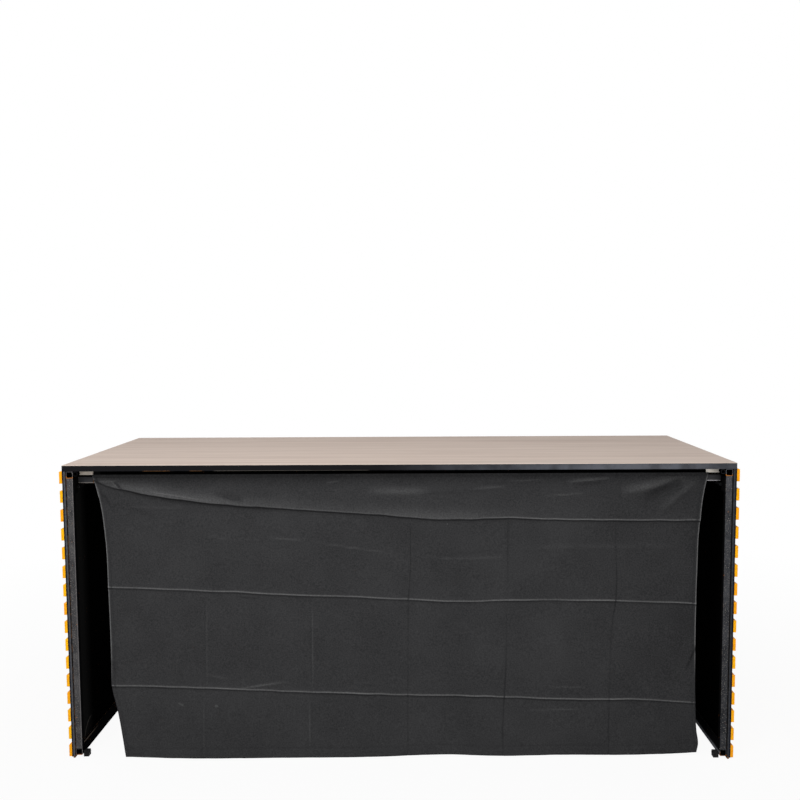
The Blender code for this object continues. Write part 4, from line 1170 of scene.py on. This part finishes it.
def addUprights(look, x, z, forward, wearAndShading):
    # Storage creases that run down the cloth, from the swag to the hem, painted paler or darker as highlight
    # and shade
    aside, wave, seed = look["uprightWander"]
    usual, varied, strengthWave, strengthSeed = look["uprightStrength"]
    fade = ease((along(look["swag"], x) - z) / look["uprightFade"])
    for number, (path, depth, tone) in enumerate(look["uprights"]):
        gap = x - along(path, z) - aside * ripple(0.0, z, wave, seed + number)
        uneven = usual + varied * ripple(0.0, z, strengthWave, strengthSeed + number)
        strength = np.clip(uneven, *look["uprightLimits"]) * fade
        forward += depth * strength * np.exp(-np.abs(gap) / look["uprightReach"])
        wearAndShading += stripe(gap, tone * strength, 0.0, look["uprightWidth"])


def addSwag(look, x, z, forward, wearAndShading):
    # The long swag: the cloth bulges above it and tucks in sharply below; a painted sheen on the bulge, a
    # painted highlight along its edge and painted shade below
    aside, wave, seed = look["swagWander"]
    above, below = look["swagReach"]
    gap = z - along(look["swag"], x) - aside * ripple(x, 0.0, wave, seed)
    bulge = np.where(gap > 0, np.clip(1 - gap / above, 0, 1) ** look["swagRound"], np.exp(gap / below))
    forward += along(look["swagDepth"], x) * bulge
    wearAndShading += np.where(gap > 0, stripe(gap, along(look["swagSheen"], x), 0.0, look["swagSheenWidth"]), 0.0)
    wearAndShading += stripe(gap, along(look["swagLine"], x), *look["swagLineAt"])
    wearAndShading += stripe(gap, *look["swagDark"])


def addFolds(look, x, z, forward, wearAndShading):
    # Small folds, hairlines and shades, each along a straight run, painted paler or darker as highlight and
    # shade
    for (x0, z0), (x1, z1), above, below, depth, tone in look["folds"].values():
        dx, dz = x1 - x0, z1 - z0
        length = math.hypot(dx, dz)
        run = np.clip(((x - x0) * dx + (z - z0) * dz) / length ** 2, 0, 1)
        off = 1000 * ((z - z0) * dx - (x - x0) * dz) / length
        across = stripe(off, 1.0, 0.0, np.where(off > 0, above, below))
        shape = np.sin(math.pi * run) ** look["foldTaper"] * across
        forward += depth / 1000 * shape
        wearAndShading += tone * shape


def addHems(look, x, z, edgeGap, hemGap, forward, wearAndShading):
    # Hems turned and stitched, with a tone of their own along the rim: painted shade by the floor and along
    # the bottom, a painted highlight higher up a side edge
    shaded, paler, fromZ, overZ = look["sideTone"]
    edgeTone = paler * ease((z - fromZ) / overZ) + shaded
    usual, varied, wave, seed = look["hemTone"]
    hemTone = usual + varied * ripple(x, 0.0, wave, seed)
    rimEnd, rimFade = look["rimReach"]
    seamTone, seamWidth = look["hemSeam"]
    for gap, width, tone in ((edgeGap, look["sideHem"], edgeTone), (hemGap, look["bottomHem"], hemTone)):
        forward += look["hemStep"] * ease((width - gap) / look["hemSlope"])
        wearAndShading += tone * ease((rimEnd - gap) / rimFade) + stripe(gap, seamTone, width, seamWidth)


def clothRelief(look, x, z, edgeGap, hemGap):
    # How far the cloth stands forward of its plain hang, and how pale or dark it is there, worn and with
    # painted highlight and shade
    forward = sum(depth * ripple(x, z, wave, seed) for seed, (depth, wave) in enumerate(look["swells"], 1))
    wearAndShading = np.zeros_like(x)
    for addRelief in (addLevels, addUprights, addSwag, addFolds):
        addRelief(look, x, z, forward, wearAndShading)
    addHems(look, x, z, edgeGap, hemGap, forward, wearAndShading)
    return forward, wearAndShading


def spread(lines, steps, places, crowding):
    # Mesh lines between neighbouring creases, closer together at the creases
    even, crowded = crowding
    parts = []
    for first, second, count in zip(lines, lines[1:], steps):
        u = np.linspace(0, 1, count + 1)[:-1]
        parts.append((first, second, even * u + crowded * (1 - np.cos(math.pi * u)) / 2))
    parts.append((lines[-1], lines[-1], np.zeros(1)))
    rows = []
    for first, second, shares in parts:
        for share in shares:
            value = places[len(rows)]
            rows.append(along(first, value) * (1 - share) + along(second, value) * share)
    return np.array(rows)


def clothGrid(look, side):
    # Mesh points in x and z, with rows and columns along the creases
    paths = [upright[0] for upright in look["uprights"]]
    columnLines = (look["leftEdge"], *paths[:3]) if side < 0 else (*paths[2:], look["rightEdge"])
    rowLines = (((-1.0, look["topZ"]), (1.0, look["topZ"])), look["swag"], *look["levels"], look["hemZ"])
    columnSteps = (look["columns"],) * (len(columnLines) - 1)
    rowCount, columnCount = sum(look["rows"]) + 1, sum(columnSteps) + 1
    z = np.tile(np.linspace(look["topZ"], look["firstHem"], rowCount)[:, None], (1, columnCount))
    for _ in range(look["settling"]):
        x = spread(columnLines, columnSteps, z.T, look["crowding"]).T
        z = spread(rowLines, look["rows"], x, look["crowding"])
    return x, z


def hangCloth(look, side):
    # Where each mesh point hangs, and how pale or dark it is
    x, z = clothGrid(look, side)
    drop = look["topZ"] - z
    hem = along(look["hemZ"], x)
    edgeGap = x - along(look["leftEdge"], z) if side < 0 else along(look["rightEdge"], z) - x
    forward, wearAndShading = clothRelief(look, x, z, edgeGap, z - hem)
    hanging = look["topZ"] - look["tapedDepth"]
    lean = (along(look["hemY"], x) - look["backY"]) * np.clip((hanging - z) / (hanging - hem), 0, None)
    pressed, releaseOver = look["release"]
    free = ease((drop - look["tapedDepth"] * pressed) / releaseOver)
    y = look["backY"] + lean - forward * free - look["standOff"]
    usual, varied, pitch = look["stitchTone"]
    stitch = stripe(drop, usual + varied * np.sin(x * math.tau / pitch), *look["stitchAt"])
    return x, y, z, wearAndShading * ease(drop / look["toneFade"]) - look["stitchDark"] * stitch


def makeClothHalf(name, side, look):
    x, y, z, tone = hangCloth(look, side)
    points = np.stack((x, y, z), axis=2).reshape(-1, 3)
    number = np.arange(x.size).reshape(x.shape)
    corners = (number[:-1, :-1], number[1:, :-1], number[1:, 1:], number[:-1, 1:])
    mesh = bpy.data.meshes.new(name + "Sheet")
    mesh.from_pydata(points.tolist(), [], np.stack(corners, axis=2).reshape(-1, 4).tolist())
    wearAndShading = mesh.attributes.new("creaseWearAndShading", "FLOAT", "POINT")
    wearAndShading.data.foreach_set("value", tone.ravel().astype(np.float32))
    shape = bmesh.new()
    shape.from_mesh(mesh)
    piece = addPiece(name, shape, "cloth", "top", True)
    solid = piece.modifiers.new("thickness", "SOLIDIFY")
    solid.thickness = look["thick"]
    solid.offset = 0.0
    bpy.context.view_layer.update()
    made = bpy.data.meshes.new_from_object(piece.evaluated_get(bpy.context.evaluated_depsgraph_get()))
    piece.modifiers.clear()
    piece.data = made
    made.shade_smooth()
    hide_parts("cloth")
    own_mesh(piece)


makeClothHalf("leftCloth", -1, clothHang)
makeClothHalf("rightCloth", 1, clothHang)
print("cloth made")
